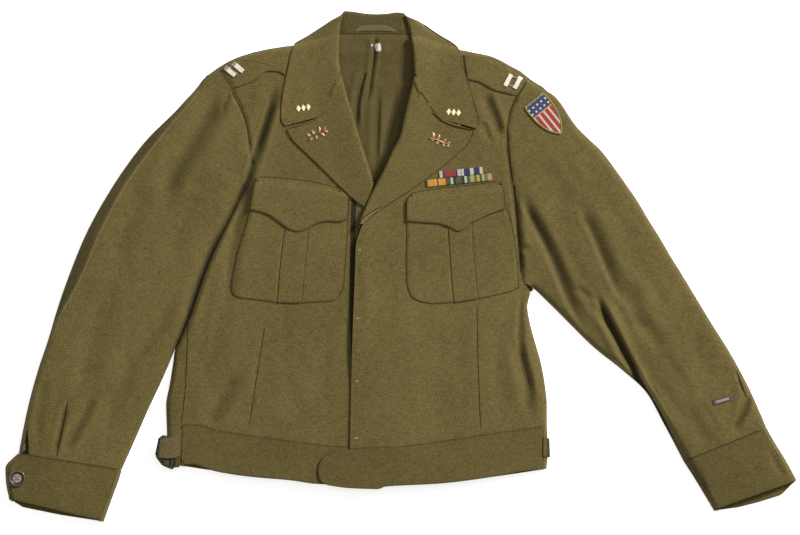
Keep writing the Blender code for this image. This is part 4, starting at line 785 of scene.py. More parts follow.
def put_uv(mesh, uv):
    """A coordinate pair for each vertex, written to the map that the cloth materials read."""
    layer = mesh.uv_layers.new(name="cloth")
    layer.data.foreach_set("uv", np.asarray(uv, np.float32)[corner_vertices(mesh)].ravel())


# how much painted shade in folds, and below zero painted highlight on ridges, plan points get
def fold_tone(xy):
    return from_field(PAINTED_SHADE_FIELD, xy)


def sheet_mesh(name, points, wall, up=True, seam=-50.0, radius=0.4, probe=None, tone=fold_tone):
    """A closed sheet with rounded borders. Its given points are on the outer face.

    seam: distance in mm of a stitch line from the border, kept as an attribute for the material.
    radius: of the turned border, one value or one for each row. tone: how much painted fold shade plan points
    get; below zero, painted highlight.
    """
    radius = np.broadcast_to(np.asarray(radius, float), (len(points),))
    p = border(border(points, 1, [radius[:, None], radius[:, None]]), 0, [radius[0], radius[-1]])
    more = np.ones(len(ROUND) - 1)
    radius = np.concatenate([more * radius[0], radius, more * radius[-1]])[:, None]
    rows, cols = p.shape[:2]
    n = surface_normals(p)
    flip = (n[rows // 2, cols // 2 if probe is None else probe, 2] < 0) == up
    if flip:
        n = -n
    across, down = cumulative(p, 1), cumulative(p, 0)
    near = np.min([across, across[:, -1:] - across, down, down[-1:] - down], axis=0)
    drop = np.where(near < 1e-6, wall / 2, radius * (1 - quarter(near / radius)))
    outer = p - n * drop[..., None]
    inner = p - n * (wall - drop)[..., None]
    index = np.arange(rows * cols).reshape(rows, cols)
    inside = np.zeros((rows, cols), bool)
    inside[1:-1, 1:-1] = True
    below = index.copy()
    below[inside] = rows * cols + np.arange(inside.sum())
    top, low = quads(index), quads(below)[:, [0, 3, 2, 1]]
    if flip:
        top, low = top[:, ::-1], low[:, ::-1]
    faces = np.concatenate([top, low])

    def both(values):
        """Values for the vertices of the outer face, then for those of the inner face."""
        return np.concatenate([values.reshape(rows * cols, -1), values[inside].reshape(inside.sum(), -1)])

    verts = np.concatenate([outer.reshape(-1, 3), inner[inside]])
    mesh = bpy.data.meshes.new(name)
    mesh.vertices.add(len(verts))
    mesh.vertices.foreach_set("co", (verts * MM).astype(np.float32).ravel())
    mesh.loops.add(len(faces) * 4)
    mesh.loops.foreach_set("vertex_index", faces.astype(np.int32).ravel())
    mesh.polygons.add(len(faces))
    mesh.polygons.foreach_set("loop_start", np.arange(0, len(faces) * 4, 4, dtype=np.int32))
    mesh.update(calc_edges=True)
    mesh.validate()
    put_uv(mesh, both(np.stack([across, down], axis=-1)) * MM)
    edge = both(near)[:, 0]
    put_attribute(mesh, "edge", edge)
    put_attribute(mesh, "seam", edge - seam)
    # the attribute fold: how much painted shade in folds, and below zero painted highlight on ridges, the
    # wool materials mix into the colour; none low down near the surface
    put_attribute(mesh, "fold", tone(verts[:, :2]) * ease((verts[:, 2] - 2.5) / 3))
    mesh.polygons.foreach_set("use_smooth", np.ones(len(mesh.polygons), bool))
    return mesh


def put_attribute(mesh, name, values):
    layer = mesh.attributes.new(name, "FLOAT", "POINT")
    layer.data.foreach_set("value", np.asarray(values, np.float32))


PIECES = bpy.data.collections.new("garment")
bpy.context.scene.collection.children.link(PIECES)


def add_piece(name, mesh, mat, nodes=()):
    obj = bpy.data.objects.new(name, mesh)
    PIECES.objects.link(obj)
    mesh.materials.clear()
    mesh.materials.append(mat)
    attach(obj, "root")
    if nodes:
        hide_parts(*nodes)
    return obj


def cloth(name, points, wall, mat=None, slot="wool", nodes=None, **shape):
    """A sheet of cloth in place of the node of its name; shape: the rest of what sheet_mesh takes."""
    obj = add_piece("cloth_" + name, sheet_mesh(name, points, wall, **shape), mat or WOOL,
                    (name,) if nodes is None else nodes)
    GRIDS[name] = points
    return obj


GRIDS = {}


def row_numbers(lines, step):
    """Fractional row numbers so that rows are about `step` mm apart."""
    out = []
    gap = np.linalg.norm(np.diff(lines, axis=0), axis=-1).max(axis=1)
    for i, g in enumerate(gap):
        n = max(1, int(math.ceil(g / step)))
        out += [i + k / n for k in range(n)]
    return np.array(out + [len(lines) - 1.0])


def refined(lines, step):
    """Lines about `step` mm apart through the given ones, and their fractional row numbers."""
    rows = row_numbers(lines, step)
    return smooth(lines, rows), rows


def columns(full, count):
    """Distances along a row: close together near its ends, even between them."""
    lead = np.array(LEAD)
    inner = np.linspace(lead[-1], full - lead[-1], count + 1)
    return np.concatenate([lead[:-1], inner, (full - lead[::-1])[1:]])


def upper_rows(lines, starts, stops, step=STEP):
    """Plan points of a panel: rows between insets, with the same number of columns in each."""
    starts, stops = (np.broadcast_to(v, len(lines)) for v in (starts, stops))
    full = [length(line) - a - b for line, a, b in zip(lines, starts, stops)]
    count = max(4, int((max(full) - 14) / step))
    return np.array([along(line, a + columns(f, count)) for line, a, f in zip(lines, starts, full)])


def side_of_roll(line, inset, closed):
    """The end of an under sheet: from the seam on top, round the rolled side, to the surface."""
    closed = ease(closed / 0.84)
    turn = min(inset, ROLL_WIDE)
    up_s = turn * (1 - np.sin(np.linspace(0, math.pi / 2, 7)))
    if inset > turn:
        up_s = np.concatenate([np.linspace(inset, turn, 4)[:-1], up_s])
    else:
        up_s = np.concatenate([turn * np.array([1, 0.985, 0.97]), up_s * 0.955])
    down_s = ROLL_WIDE * (1 - np.cos(np.linspace(0, math.pi / 2, 9)))[1:]
    ring_s = np.concatenate([up_s, down_s])
    n_up = len(up_s)
    flat_s = SEAM_CLOSE + min(2.0, (length(line) - 14) / (len(ring_s) + 2)) * np.arange(len(ring_s))
    ring_xy = along(line, ring_s + SEAM_CLOSE)
    ring_z = ROLL_MID * (1 - quarter(ring_s / ROLL_WIDE))
    ring_z[:n_up] = height(ring_xy[:n_up])
    ring_z[n_up - 1] = ROLL_MID
    xy = closed * ring_xy + (1 - closed) * along(line, flat_s)
    return xy, closed * ring_z, float(ring_s[-1] * closed + flat_s[-1] * (1 - closed))


def seam_radius(lines):
    """Flush seams where sleeve and body at the wearer's right lie side by side, turned ones elsewhere."""
    y = layout(lines[:, 0])[1]
    return np.where((y > 146) & (y < 352), 0.03, 0.16)


def under_sheet(name, lines, ends, floor, radius=0.16, **shape):
    """An under sheet between its two seams on top; ends: inset and closed of both sides for each line."""
    mid_cols = max(3, int((max(length(line) for line in lines) - 2 * ROLL_WIDE) / (STEP * 1.35)))
    rows = []
    for line, (in_a, cl_a, in_b, cl_b) in zip(lines, ends):
        xy_a, z_a, used_a = side_of_roll(line, in_a, cl_a)
        xy_b, z_b, used_b = side_of_roll(line[::-1], in_b, cl_b)
        xy_m = along(line, np.linspace(used_a, length(line) - used_b, mid_cols + 2)[1:-1])
        z_a, z_b = (z + floor(xy) * (z < 1e-6) for xy, z in ((xy_a, z_a), (xy_b, z_b)))
        rows.append(np.concatenate([with_height(xy_a, z_a), with_height(xy_m, floor(xy_m)),
                                    with_height(xy_b, z_b)[::-1]]))
    return cloth(name, np.array(rows), CLOTH, up=False, radius=radius, **shape)


# Materials
class Tree:
    """Small helper to write shader trees."""

    def __init__(self, name):
        self.mat = bpy.data.materials.new(name)
        self.mat.use_nodes = True
        self.t = self.mat.node_tree
        self.t.nodes.clear()
        self.out = self.t.nodes.new("ShaderNodeOutputMaterial")
        self.bsdf = self.t.nodes.new("ShaderNodeBsdfPrincipled")
        self.t.links.new(self.bsdf.outputs[0], self.out.inputs[0])

    def new(self, kind, **settings):
        node = self.t.nodes.new("ShaderNode" + kind)
        for key, value in settings.items():
            setattr(node, key, value)
        return node

    def put(self, socket, value):
        if isinstance(value, bpy.types.NodeSocket):
            self.t.links.new(value, socket)
        elif hasattr(socket, "default_value"):
            if isinstance(value, (tuple, list)) and len(value) == 3 and socket.type == "RGBA":
                value = (*value, 1.0)
            socket.default_value = value

    def set(self, **values):
        for key, value in values.items():
            self.put(self.bsdf.inputs[key.replace("_", " ")], value)

    def coords(self, kind="UV"):
        if kind == "UV":
            return self.new("UVMap", uv_map="cloth").outputs[0]
        return self.new("TexCoord").outputs["Object"]

    def mapped(self, vector, scale=(1, 1, 1), turn=0.0, shift=(0, 0, 0)):
        node = self.new("Mapping")
        self.put(node.inputs["Vector"], vector)
        node.inputs["Scale"].default_value = scale
        node.inputs["Rotation"].default_value = (0, 0, turn)
        node.inputs["Location"].default_value = shift
        return node.outputs[0]

    def noise(self, vector, scale, detail=2.0, rough=0.5):
        node = self.new("TexNoise")
        self.put(node.inputs["Vector"], vector)
        node.inputs["Scale"].default_value = scale
        node.inputs["Detail"].default_value = detail
        node.inputs["Roughness"].default_value = rough
        return node.outputs[0]

    def wave(self, vector, scale, distortion=0.0, direction="X"):
        node = self.new("TexWave", wave_profile="SIN", bands_direction=direction)
        self.put(node.inputs["Vector"], vector)
        node.inputs["Scale"].default_value = scale
        node.inputs["Distortion"].default_value = distortion
        return node.outputs[1]

    def math(self, kind, a, b=0.0):
        node = self.new("Math", operation=kind)
        self.put(node.inputs[0], a)
        self.put(node.inputs[1], b)
        return node.outputs[0]

    def total(self, *terms):
        """The sum of (value, weight) pairs."""
        parts = [self.math("MULTIPLY", value, weight) for value, weight in terms]
        out = parts[0]
        for part in parts[1:]:
            out = self.math("ADD", out, part)
        return out

    def split(self, vector):
        node = self.new("SeparateXYZ")
        self.put(node.inputs[0], vector)
        return node.outputs[0], node.outputs[1]

    def pointiness(self):
        return self.new("NewGeometry").outputs["Pointiness"]

    def remap(self, value, a, b, c, d):
        node = self.new("MapRange")
        self.put(node.inputs[0], value)
        for k, v in zip((1, 2, 3, 4), (a, b, c, d)):
            node.inputs[k].default_value = v
        return node.outputs[0]

    def mix(self, share, a, b, blend="MIX"):
        node = self.new("Mix", data_type="RGBA", blend_type=blend)
        self.put(node.inputs[0], share)
        self.put(node.inputs[6], a)
        self.put(node.inputs[7], b)
        return node.outputs[2]

    def ramp(self, value, stops, interpolation="LINEAR"):
        node = self.new("ValToRGB")
        self.put(node.inputs[0], value)
        ramp = node.color_ramp
        ramp.interpolation = interpolation
        while len(ramp.elements) < len(stops):
            ramp.elements.new(0.5)
        for element, (at, colour) in zip(ramp.elements, stops):
            element.position = at
            element.color = (*colour, 1.0)
        return node.outputs[0]

    def bump(self, value, depth, strength=1.0):
        node = self.new("Bump")
        node.inputs["Strength"].default_value = strength
        node.inputs["Distance"].default_value = depth
        self.put(node.inputs["Height"], value)
        return node.outputs[0]

    def attribute(self, name):
        return self.new("Attribute", attribute_name=name).outputs["Fac"]


NO_TURN = 0.0
PAINTED_FOLD_SHADE = (0.014, 0.0105, 0.003)     # painted shade: the colour the cloth gets deep in a fold
RIM_SHADE = (0.018, 0.014, 0.005)       # the line at the border of a pressed edge
WARM_THREAD = (0.13, 0.072, 0.022)
GREEN_THREAD = (0.07, 0.082, 0.018)


def wool(name, tones, turn=NO_TURN, seam_on=False, rim=0.0, wear=0.0):
    """Serge: a steep fine twill, long thread streaks both ways, flecks and a soft nap, with painted shade in
    folds and painted highlight on ridges.
    """
    light, dark, fleck = tones
    t = Tree(name)
    uv, obj = t.coords(), t.coords("OBJ")
    streak_u = t.noise(t.mapped(uv, (110, 760, 1), turn), 1.0, 3.0, 0.6)
    streak_v = t.noise(t.mapped(uv, (760, 110, 1), turn, (3, 7, 0)), 1.0, 3.0, 0.6)
    speck = t.noise(uv, 620.0, 3.0, 0.65)
    cloud = t.noise(obj, 9.0, 3.0, 0.55)
    patchy = t.noise(obj, 42.0, 3.0, 0.6)
    mottle = t.noise(t.mapped(uv, (0.7, 1.3, 1), NO_TURN, (2, 5, 0)), 150.0, 3.0, 0.6)
    twill = t.wave(t.mapped(uv, turn=math.radians(63)), 150.0, 0.6)
    streaks = t.total((streak_u, 0.5), (streak_v, 0.5))
    tone = t.total((streaks, 0.42), (speck, 0.42), (cloud, 0.08), (patchy, 0.06), (mottle, 0.1),
                   (t.math("SUBTRACT", twill, 0.5), 0.05))
    colour = t.ramp(t.remap(tone, 0.425, 0.6, 0, 1), [(0.0, dark), (0.5, light), (1.0, fleck)])
    warm = t.noise(t.mapped(uv, shift=(9, 2, 0)), 260.0, 2.0, 0.6)
    colour = t.mix(t.remap(warm, 0.56, 0.76, 0.0, 0.4), colour, WARM_THREAD)
    green = t.noise(t.mapped(uv, shift=(4, 12, 0)), 330.0, 2.0, 0.6)
    colour = t.mix(t.remap(green, 0.56, 0.78, 0.0, 0.35), colour, GREEN_THREAD)
    fold = t.attribute("fold")
    # painted shade deep in folds and painted highlight on ridges, from the attribute fold
    colour = t.mix(t.remap(fold, 0.5, 5.0, 0.0, 0.8), colour, PAINTED_FOLD_SHADE)
    colour = t.mix(t.remap(fold, -0.7, -2.4, 0.0, 0.35), colour, fleck)
    edge = t.attribute("edge")
    if wear:
        worn = t.math("MULTIPLY", t.remap(edge, 0.2, 1.8, 1.0, 0.0), t.remap(patchy, 0.35, 0.7, 0.1, wear))
        colour = t.mix(worn, colour, fleck)
    if rim:
        colour = t.mix(t.remap(edge, 0.25, 1.1, rim, 0.0), colour, RIM_SHADE)
    rise = t.total((twill, 0.35), (speck, 0.5), (streaks, 0.8))
    if seam_on:
        groove = t.remap(t.math("ABSOLUTE", t.attribute("seam")), 0.0, 0.75, 1.0, 0.0)
        colour = t.mix(t.math("MULTIPLY", groove, 0.22), colour, dark)
        rise = t.math("SUBTRACT", rise, t.math("MULTIPLY", groove, 0.9))
    t.set(Base_Color=colour, Roughness=0.88, Sheen_Weight=0.1, Sheen_Roughness=0.5, Specular_IOR_Level=0.18)
    t.set(Sheen_Tint=(0.75, 0.66, 0.42), Normal=t.bump(rise, 0.00035, 0.55))
    return t.mat


def metal(name, base, worn_colour, dark, rough):
    t = Tree(name)
    obj = t.coords("OBJ")
    cloud = t.noise(obj, 320.0, 4.0, 0.6)
    scratch = t.noise(t.mapped(obj, (1, 7, 1), 0.6), 900.0, 2.0, 0.6)
    colour = t.mix(t.remap(cloud, 0.4, 0.66, 0, 1), base, worn_colour)
    hollow = t.remap(t.pointiness(), 0.44, 0.52, 0.7, 0.0)
    colour = t.mix(hollow, colour, dark)
    both = t.math("ADD", cloud, scratch)
    t.set(Base_Color=colour, Metallic=1.0, Normal=t.bump(both, 0.00008, 0.5))
    t.set(Roughness=t.remap(both, 0.7, 1.3, rough - 0.08, rough + 0.14))
    return t.mat


def plain_cloth(name, light, dark, scale_u, scale_v, rough=0.85, sheen=0.1):
    """A plain or ribbed narrow cloth."""
    t = Tree(name)
    uv = t.coords()
    rib_u, rib_v = t.wave(uv, scale_u, 0.5), t.wave(uv, scale_v, 0.5, "Y")
    fine, coarse = t.noise(uv, 1400.0, 2.0, 0.6), t.noise(t.coords("OBJ"), 60.0, 3.0, 0.6)
    tone = t.total((rib_u, 0.25), (fine, 0.45), (coarse, 0.3))
    colour = t.ramp(t.remap(tone, 0.3, 0.7, 0, 1), [(0, dark), (1, light)])
    t.set(Base_Color=colour, Roughness=rough, Sheen_Weight=sheen, Specular_IOR_Level=0.2)
    t.set(Normal=t.bump(t.math("ADD", rib_u, rib_v), 0.0001, 0.5))
    return t.mat


def ribbon(name, stripes):
    """Ribbed silk with stripes across its width: (end of stripe, colour) pairs."""
    t = Tree(name)
    uv = t.coords()
    wobble = t.noise(t.mapped(uv, (1, 14, 1)), 3.0, 2.0)
    u = t.math("ADD", t.split(uv)[0], t.math("MULTIPLY", t.math("SUBTRACT", wobble, 0.5), 0.012))
    starts = [0.0] + [end for end, _ in stripes[:-1]]
    colour = t.ramp(u, [(start, colour) for start, (_, colour) in zip(starts, stripes)], "CONSTANT")
    rib = t.wave(uv, 4.5, 0.4, "Y")
    speck = t.noise(t.mapped(uv, (14, 60, 1)), 3.0, 3.0)
    colour = t.mix(t.remap(speck, 0.3, 0.75, 0.0, 0.35), colour, (0.03, 0.026, 0.02))
    colour = t.mix(t.math("MULTIPLY", rib, 0.18), colour, (0.02, 0.018, 0.014))
    t.set(Base_Color=colour, Roughness=0.7, Sheen_Weight=0.1, Specular_IOR_Level=0.3)
    t.set(Normal=t.bump(rib, 0.0002, 0.6))
    return t.mat


# Tones of each cloth, linear: main, dark, fleck
OLIVE = (0.0975, 0.0735, 0.0205), (0.050, 0.0373, 0.009), (0.155, 0.120, 0.040)
OLIVE_BAND = (0.084, 0.0628, 0.0174), (0.043, 0.032, 0.0076), (0.134, 0.103, 0.034)
# painted shade: the dark strips laid in seams, beside edges and in openings
DITCH_SHADE = (0.017, 0.0128, 0.0045), (0.01, 0.008, 0.003), (0.027, 0.021, 0.008)
# painted highlight: the pale strips laid on ridges and turned edges
CREST_HIGHLIGHT = (0.15, 0.116, 0.04), (0.1, 0.076, 0.022), (0.2, 0.16, 0.07)
# painted shade: a darker copy of the body's wool for the collar behind the neck and the underarm pieces
INSIDE_SHADE = (0.066, 0.050, 0.0155), (0.034, 0.026, 0.0075), (0.102, 0.079, 0.028)
IN_SHADE = (0.007, 0.005, 0.004), (0.004, 0.003, 0.002), (0.012, 0.009, 0.006)
STRAP_TONES = (0.09, 0.066, 0.025), (0.052, 0.038, 0.013), (0.15, 0.112, 0.05)
LINING_TONES = (0.078, 0.059, 0.0175), (0.048, 0.036, 0.01), (0.108, 0.083, 0.03)

WOOL = wool("wool_serge", OLIVE, seam_on=True)
WOOL_PLAIN = wool("wool_serge_plain", OLIVE)
WOOL_POCKET = wool("wool_serge_pocket", OLIVE, seam_on=True, rim=0.45)
WOOL_BAND = wool("wool_serge_band", OLIVE_BAND, seam_on=True, rim=0.6)
# painted shade in strips along seams, edges and openings
WOOL_DITCH_SHADE = wool("wool_serge_ditch_painted_shade", DITCH_SHADE)
# painted highlight in strips along ridges and turned edges
WOOL_CREST_HIGHLIGHT = wool("wool_serge_painted_highlight", CREST_HIGHLIGHT)
WOOL_BAND_PLAIN = wool("wool_serge_band_plain", OLIVE_BAND)
WOOL_EDGE = wool("wool_serge_edge", OLIVE, wear=0.5)
# the body's wool, darker: painted shade
WOOL_INSIDE_SHADE = wool("wool_serge_inside_painted_shade", INSIDE_SHADE)
GAP_MAT = wool("lining_in_shade", IN_SHADE)
STRAP = wool("wool_strap", STRAP_TONES, seam_on=True)
LINING_MAT = wool("lining_twill", LINING_TONES, turn=0.1)
TAPE = plain_cloth("tape_olive", (0.16, 0.135, 0.055), (0.10, 0.083, 0.03), 500, 700)
LABEL = plain_cloth("label_cotton", (0.74, 0.72, 0.66), (0.5, 0.47, 0.4), 800, 800)
THREAD_LIGHT = plain_cloth("thread_pale", (0.33, 0.27, 0.14), (0.2, 0.155, 0.07), 900, 900)
THREAD_DARK = plain_cloth("thread_dark", (0.045, 0.036, 0.015), (0.025, 0.02, 0.008), 900, 900)
THREAD_WOOL = plain_cloth("thread_olive", (0.098, 0.077, 0.027), (0.062, 0.048, 0.016), 900, 900)
SILVER = metal("metal_silver", (0.78, 0.74, 0.61), (0.58, 0.54, 0.43), (0.24, 0.21, 0.16), 0.34)
GILT = metal("metal_gilt", (0.95, 0.82, 0.46), (0.8, 0.66, 0.32), (0.36, 0.27, 0.1), 0.36)
COPPER = metal("metal_copper", (0.5, 0.31, 0.16), (0.3, 0.17, 0.08), (0.1, 0.055, 0.025), 0.38)
DARK_METAL = metal("metal_japanned", (0.02, 0.021, 0.02), (0.06, 0.058, 0.05), (0.01, 0.01, 0.01), 0.5)


def horn_material():
    t = Tree("horn_brown")
    obj = t.coords("OBJ")
    swirl = t.noise(t.mapped(obj, (1, 2.4, 1), 0.5), 260.0, 5.0, 0.6)
    fine = t.noise(obj, 1500.0, 3.0, 0.6)
    layers = [(0.3, (0.008, 0.005, 0.004)), (0.52, (0.02, 0.013, 0.01)), (0.75, (0.055, 0.036, 0.026))]
    colour = t.mix(t.remap(t.pointiness(), 0.5, 0.6, 0.0, 0.5), t.ramp(swirl, layers), (0.3, 0.22, 0.15))
    t.set(Base_Color=colour, Roughness=t.remap(fine, 0.3, 0.7, 0.22, 0.4))
    t.set(Coat_Weight=0.3, Coat_Roughness=0.15, Normal=t.bump(fine, 0.00005, 0.4))
    return t.mat


def eye_material():
    t = Tree("horn_eye")
    fine = t.noise(t.coords("OBJ"), 1200.0, 3.0)
    t.set(Base_Color=t.ramp(fine, [(0.3, (0.008, 0.006, 0.004)), (0.7, (0.02, 0.015, 0.01))]), Roughness=0.8)
    return t.mat


HORN = horn_material()
# painted highlight: pale rings on the button's rim and inner ridge
HORN_RIM_HIGHLIGHT = plain_cloth("horn_painted_highlight", (0.27, 0.2, 0.14), (0.12, 0.08, 0.05), 300, 300, 0.3, 0.0)
EYE_MAT = eye_material()
HORN_FACE = plain_cloth("horn_bright", (0.5, 0.46, 0.4), (0.26, 0.22, 0.17), 300, 300, 0.3, 0.0)

PALE, CREAM, SAND, DARK = (0.55, 0.5, 0.4), (0.62, 0.55, 0.42), (0.5, 0.36, 0.16), (0.03, 0.03, 0.03)
RED, NAVY, GREEN, BROWN = (0.32, 0.03, 0.025), (0.025, 0.03, 0.11), (0.05, 0.13, 0.035), (0.14, 0.07, 0.03)
AMBER, YELLOW, PINK = (0.62, 0.3, 0.03), (0.58, 0.42, 0.06), (0.55, 0.28, 0.22)
OLIVE_SILK = (0.16, 0.17, 0.05)
RIBBONS = [ribbon(*row) for row in (
    ("ribbon_red", [(0.16, PALE), (0.24, NAVY), (0.76, RED), (0.84, NAVY), (1.0, PALE)]),
    ("ribbon_blue", [(0.14, CREAM), (0.42, NAVY), (0.58, CREAM), (0.86, NAVY), (1.0, CREAM)]),
    ("ribbon_amber", [(0.1, BROWN), (0.42, AMBER), (0.5, YELLOW), (0.58, RED), (0.66, YELLOW), (0.9, AMBER),
                      (1.0, BROWN)]),
    ("ribbon_field", [(0.14, GREEN), (0.24, CREAM), (0.38, DARK), (0.46, GREEN), (0.54, BROWN), (0.62, GREEN),
                      (0.76, DARK), (0.86, CREAM), (1.0, GREEN)]),
    ("ribbon_service", [(0.18, SAND), (0.34, OLIVE_SILK), (0.44, YELLOW), (0.56, GREEN), (0.66, YELLOW),
                        (0.82, OLIVE_SILK), (1.0, PINK)]),
)]


# Pitch of the bars and of the dots, and the field's lower line, mm
PATCH_BAR, PATCH_CELL, PATCH_CHIEF = 8.4, 7.2, 10.5


def patch_material():
    """Embroidery: red and white bars below a blue field with white dots, in satin stitch."""
    t = Tree("patch_embroidery")
    uv = t.coords()
    x, y = t.split(uv)

    def cell(value, shift, pitch):
        return t.math("FRACT", t.math("DIVIDE", t.math("ADD", value, shift), pitch))

    bar = t.math("LESS_THAN", cell(x, 40.0, PATCH_BAR), 0.66)
    colour = t.mix(bar, (0.55, 0.5, 0.42), (0.33, 0.035, 0.03))
    cells = cell(x, 40.0, PATCH_CELL), cell(y, -12.0, PATCH_CELL)
    off = [t.math("SUBTRACT", value, 0.5) for value in cells]
    dot = t.math("LESS_THAN", t.total((off[0], off[0]), (off[1], off[1])), 0.045)
    field = t.mix(dot, (0.035, 0.045, 0.13), (0.6, 0.55, 0.45))
    colour = t.mix(t.math("GREATER_THAN", y, PATCH_CHIEF), colour, field)
    line = t.math("LESS_THAN", t.math("ABSOLUTE", t.math("SUBTRACT", y, PATCH_CHIEF)), 0.9)
    colour = t.mix(line, colour, (0.52, 0.3, 0.05))
    stitch = t.noise(t.mapped(uv, (9.0, 0.7, 1)), 1.0, 2.0)
    colour = t.mix(t.remap(stitch, 0.35, 0.7, 0.0, 0.35), colour, (0.05, 0.04, 0.03))
    t.set(Base_Color=colour, Roughness=0.75, Sheen_Weight=0.15, Specular_IOR_Level=0.25)
    t.set(Normal=t.bump(stitch, 0.0004, 0.6))
    return t.mat


PATCH_MAT = patch_material()
PATCH_BORDER = plain_cloth("patch_edge_thread", (0.36, 0.31, 0.08), (0.2, 0.18, 0.04), 1800, 1800, 0.75)


def braid_material():
    """Dark braid with a paler woven bar in its middle."""
    t = Tree("braid_dark")
    uv = t.coords()
    u, v = (t.math("ABSOLUTE", t.math("SUBTRACT", value, 0.5)) for value in t.split(uv))
    inner = t.math("MULTIPLY", t.math("LESS_THAN", u, 0.36), t.math("LESS_THAN", v, 0.2))
    twist = t.noise(t.mapped(uv, (60, 18, 1), 0.5), 1.0, 3.0)
    pale = t.math("MULTIPLY", inner, t.remap(twist, 0.35, 0.6, 0.35, 1.0))
    colour = t.mix(pale, (0.075, 0.062, 0.05), (0.34, 0.31, 0.28))
    colour = t.mix(t.remap(twist, 0.5, 0.75, 0.0, 0.4), colour, (0.03, 0.025, 0.02))
    t.set(Base_Color=colour, Roughness=0.8, Specular_IOR_Level=0.25, Normal=t.bump(twist, 0.0003, 0.6))
    return t.mat


BRAID = braid_material()


def floor_material():
    """White with a weak glow of its own, as in the photo's cut-out."""
    t = Tree("surface_white")
    obj = t.coords("OBJ")
    tone = t.total((t.noise(obj, 3.0, 3.0), 0.6), (t.noise(obj, 900.0, 2.0), 0.4))
    t.set(Base_Color=t.ramp(tone, [(0.3, (0.93, 0.93, 0.93)), (0.7, (0.96, 0.96, 0.96))]), Roughness=0.95)
    t.set(Specular_IOR_Level=0.0, Emission_Color=(1.0, 1.0, 1.0), Emission_Strength=0.62)
    return t.mat



# Body
LAST_ROW = len(BODY_SIDE_RIGHT) - 1
TURN_IN = 1 - np.sin(np.linspace(0, math.pi / 2, 9)[1:])        # close rows where a panel turns to its seam
SHOULDER_ROWS = LAST_ROW - TURN_IN * 0.62


def side_lines():
    lines = []
    for right, left, mid_y in zip(BODY_SIDE_RIGHT, BODY_SIDE_LEFT, BACK_MID_Y):
        neck = [(x, mid_y) for x in BACK_NECK_X]
        lines.append(spread(place([right[:2], *neck, left[:2]]), 81))
    return np.array(lines)


def body_rows(lines, step=STEP):
    rows = row_numbers(lines[:LAST_ROW], step)
    close = np.linspace(17.05, 17.38, 3)[(0 if rows.max() < 17.05 else 1):]
    return np.concatenate([rows[rows < 17.3], close, SHOULDER_ROWS])


def open_starts(data):
    """Insets of an upper sheet: at the side seam where its side is closed, else at the border."""
    return [ease((d[1] - 0.86) / 0.12) * d[0] + SEAM_CLOSE for d in data]


def make_body():
    lines = side_lines()
    lines[-1] = spread(np.concatenate([place(SHOULDER_RIGHT), place(SHOULDER_LEFT)[::-1]]), 81)
    lines[0] = spread(curve(BAND_BACK[0]) + (0, 0.15), 81)
    rows = body_rows(lines, STEP_UNDER)
    lines = smooth(lines, rows)
    ends = np.hstack([smooth([r[2:] for r in side], rows) for side in (BODY_SIDE_RIGHT, BODY_SIDE_LEFT)])
    under_sheet("back", lines, ends, underside, radius=seam_radius(lines))

    hem_left = BAND_LEFT[0][:4] + [(372, 447.1), (350, 448.9)]
    for name, side, edge, shoulder, hem, ground in (
        ("front_right", BODY_SIDE_RIGHT, FRONT_EDGE_RIGHT, SHOULDER_RIGHT, BAND_RIGHT[0], height),
        ("front_left", BODY_SIDE_LEFT, FRONT_EDGE_LEFT, SHOULDER_LEFT, hem_left, upper_front),
    ):
        lines = np.array([spread(place([s[:2], e]), 61) for s, e in zip(side, edge)])
        lines[0] = spread(curve(hem) + (0, 0.15), 61)
        lines[-1] = spread(place(shoulder), 61)
        rows = body_rows(lines)
        lines = smooth(lines, rows)
        xy = upper_rows(lines, open_starts(smooth([s[2:] for s in side], rows)), 0.0)
        z = ground(xy)
        z[-1] = ROLL_MID + 0.1
        if ground is height:
            cloth(name, with_height(xy, z), CLOTH, radius=seam_radius(lines), tone=beside_front)
        else:
            cloth(name, with_height(xy, z), CLOTH, radius=0.16)


def beside_front(xy):
    """Painted shade on the lower front beside the free edge of the upper one, where it lies deep."""
    off, _, share = nearest(xy, curve(FRONT_EDGE_LEFT[:11]), 40)
    deep = 2.4 + 3.6 * ease((share - 0.42) / 0.2)
    return fold_tone(xy) + deep * np.exp(-(off / 5.5) ** 2)


UNDERARMS = [
    ("right", [r[:2] for r in BODY_SIDE_RIGHT[4:14]][::-1], 72, 2.7),
    ("left", [(518.4, 238), (519.4, 252), (520.2, 266), (520.8, 276.6), (523.6, 281), (527.4, 285.4),
              (532.4, 290.6)], 40, 2.9),
]


def make_underarms():
    """The seam allowances that show at the bottom between body and sleeve."""
    for side, points, count, half in UNDERARMS:
        xy = banded(spread(curve(points), count), half, 5)
        # painted shade: the darker wool and a deep constant fold shade
        cloth(f"underarm_{side}", with_height(xy, 1.5), 1.4, WOOL_INSIDE_SHADE, nodes=(),
              tone=lambda at: np.full(at.shape[:-1], 6.0))


# Sleeves and cuffs
def sleeve_lines(table):
    return np.array([spread(pair, 61) for pair in paired(table)])


def sleeve_rows(lines, step):
    rows = row_numbers(lines, step)
    return np.concatenate([TURN_IN[::-1] * 0.8, rows[rows > 0.85]])


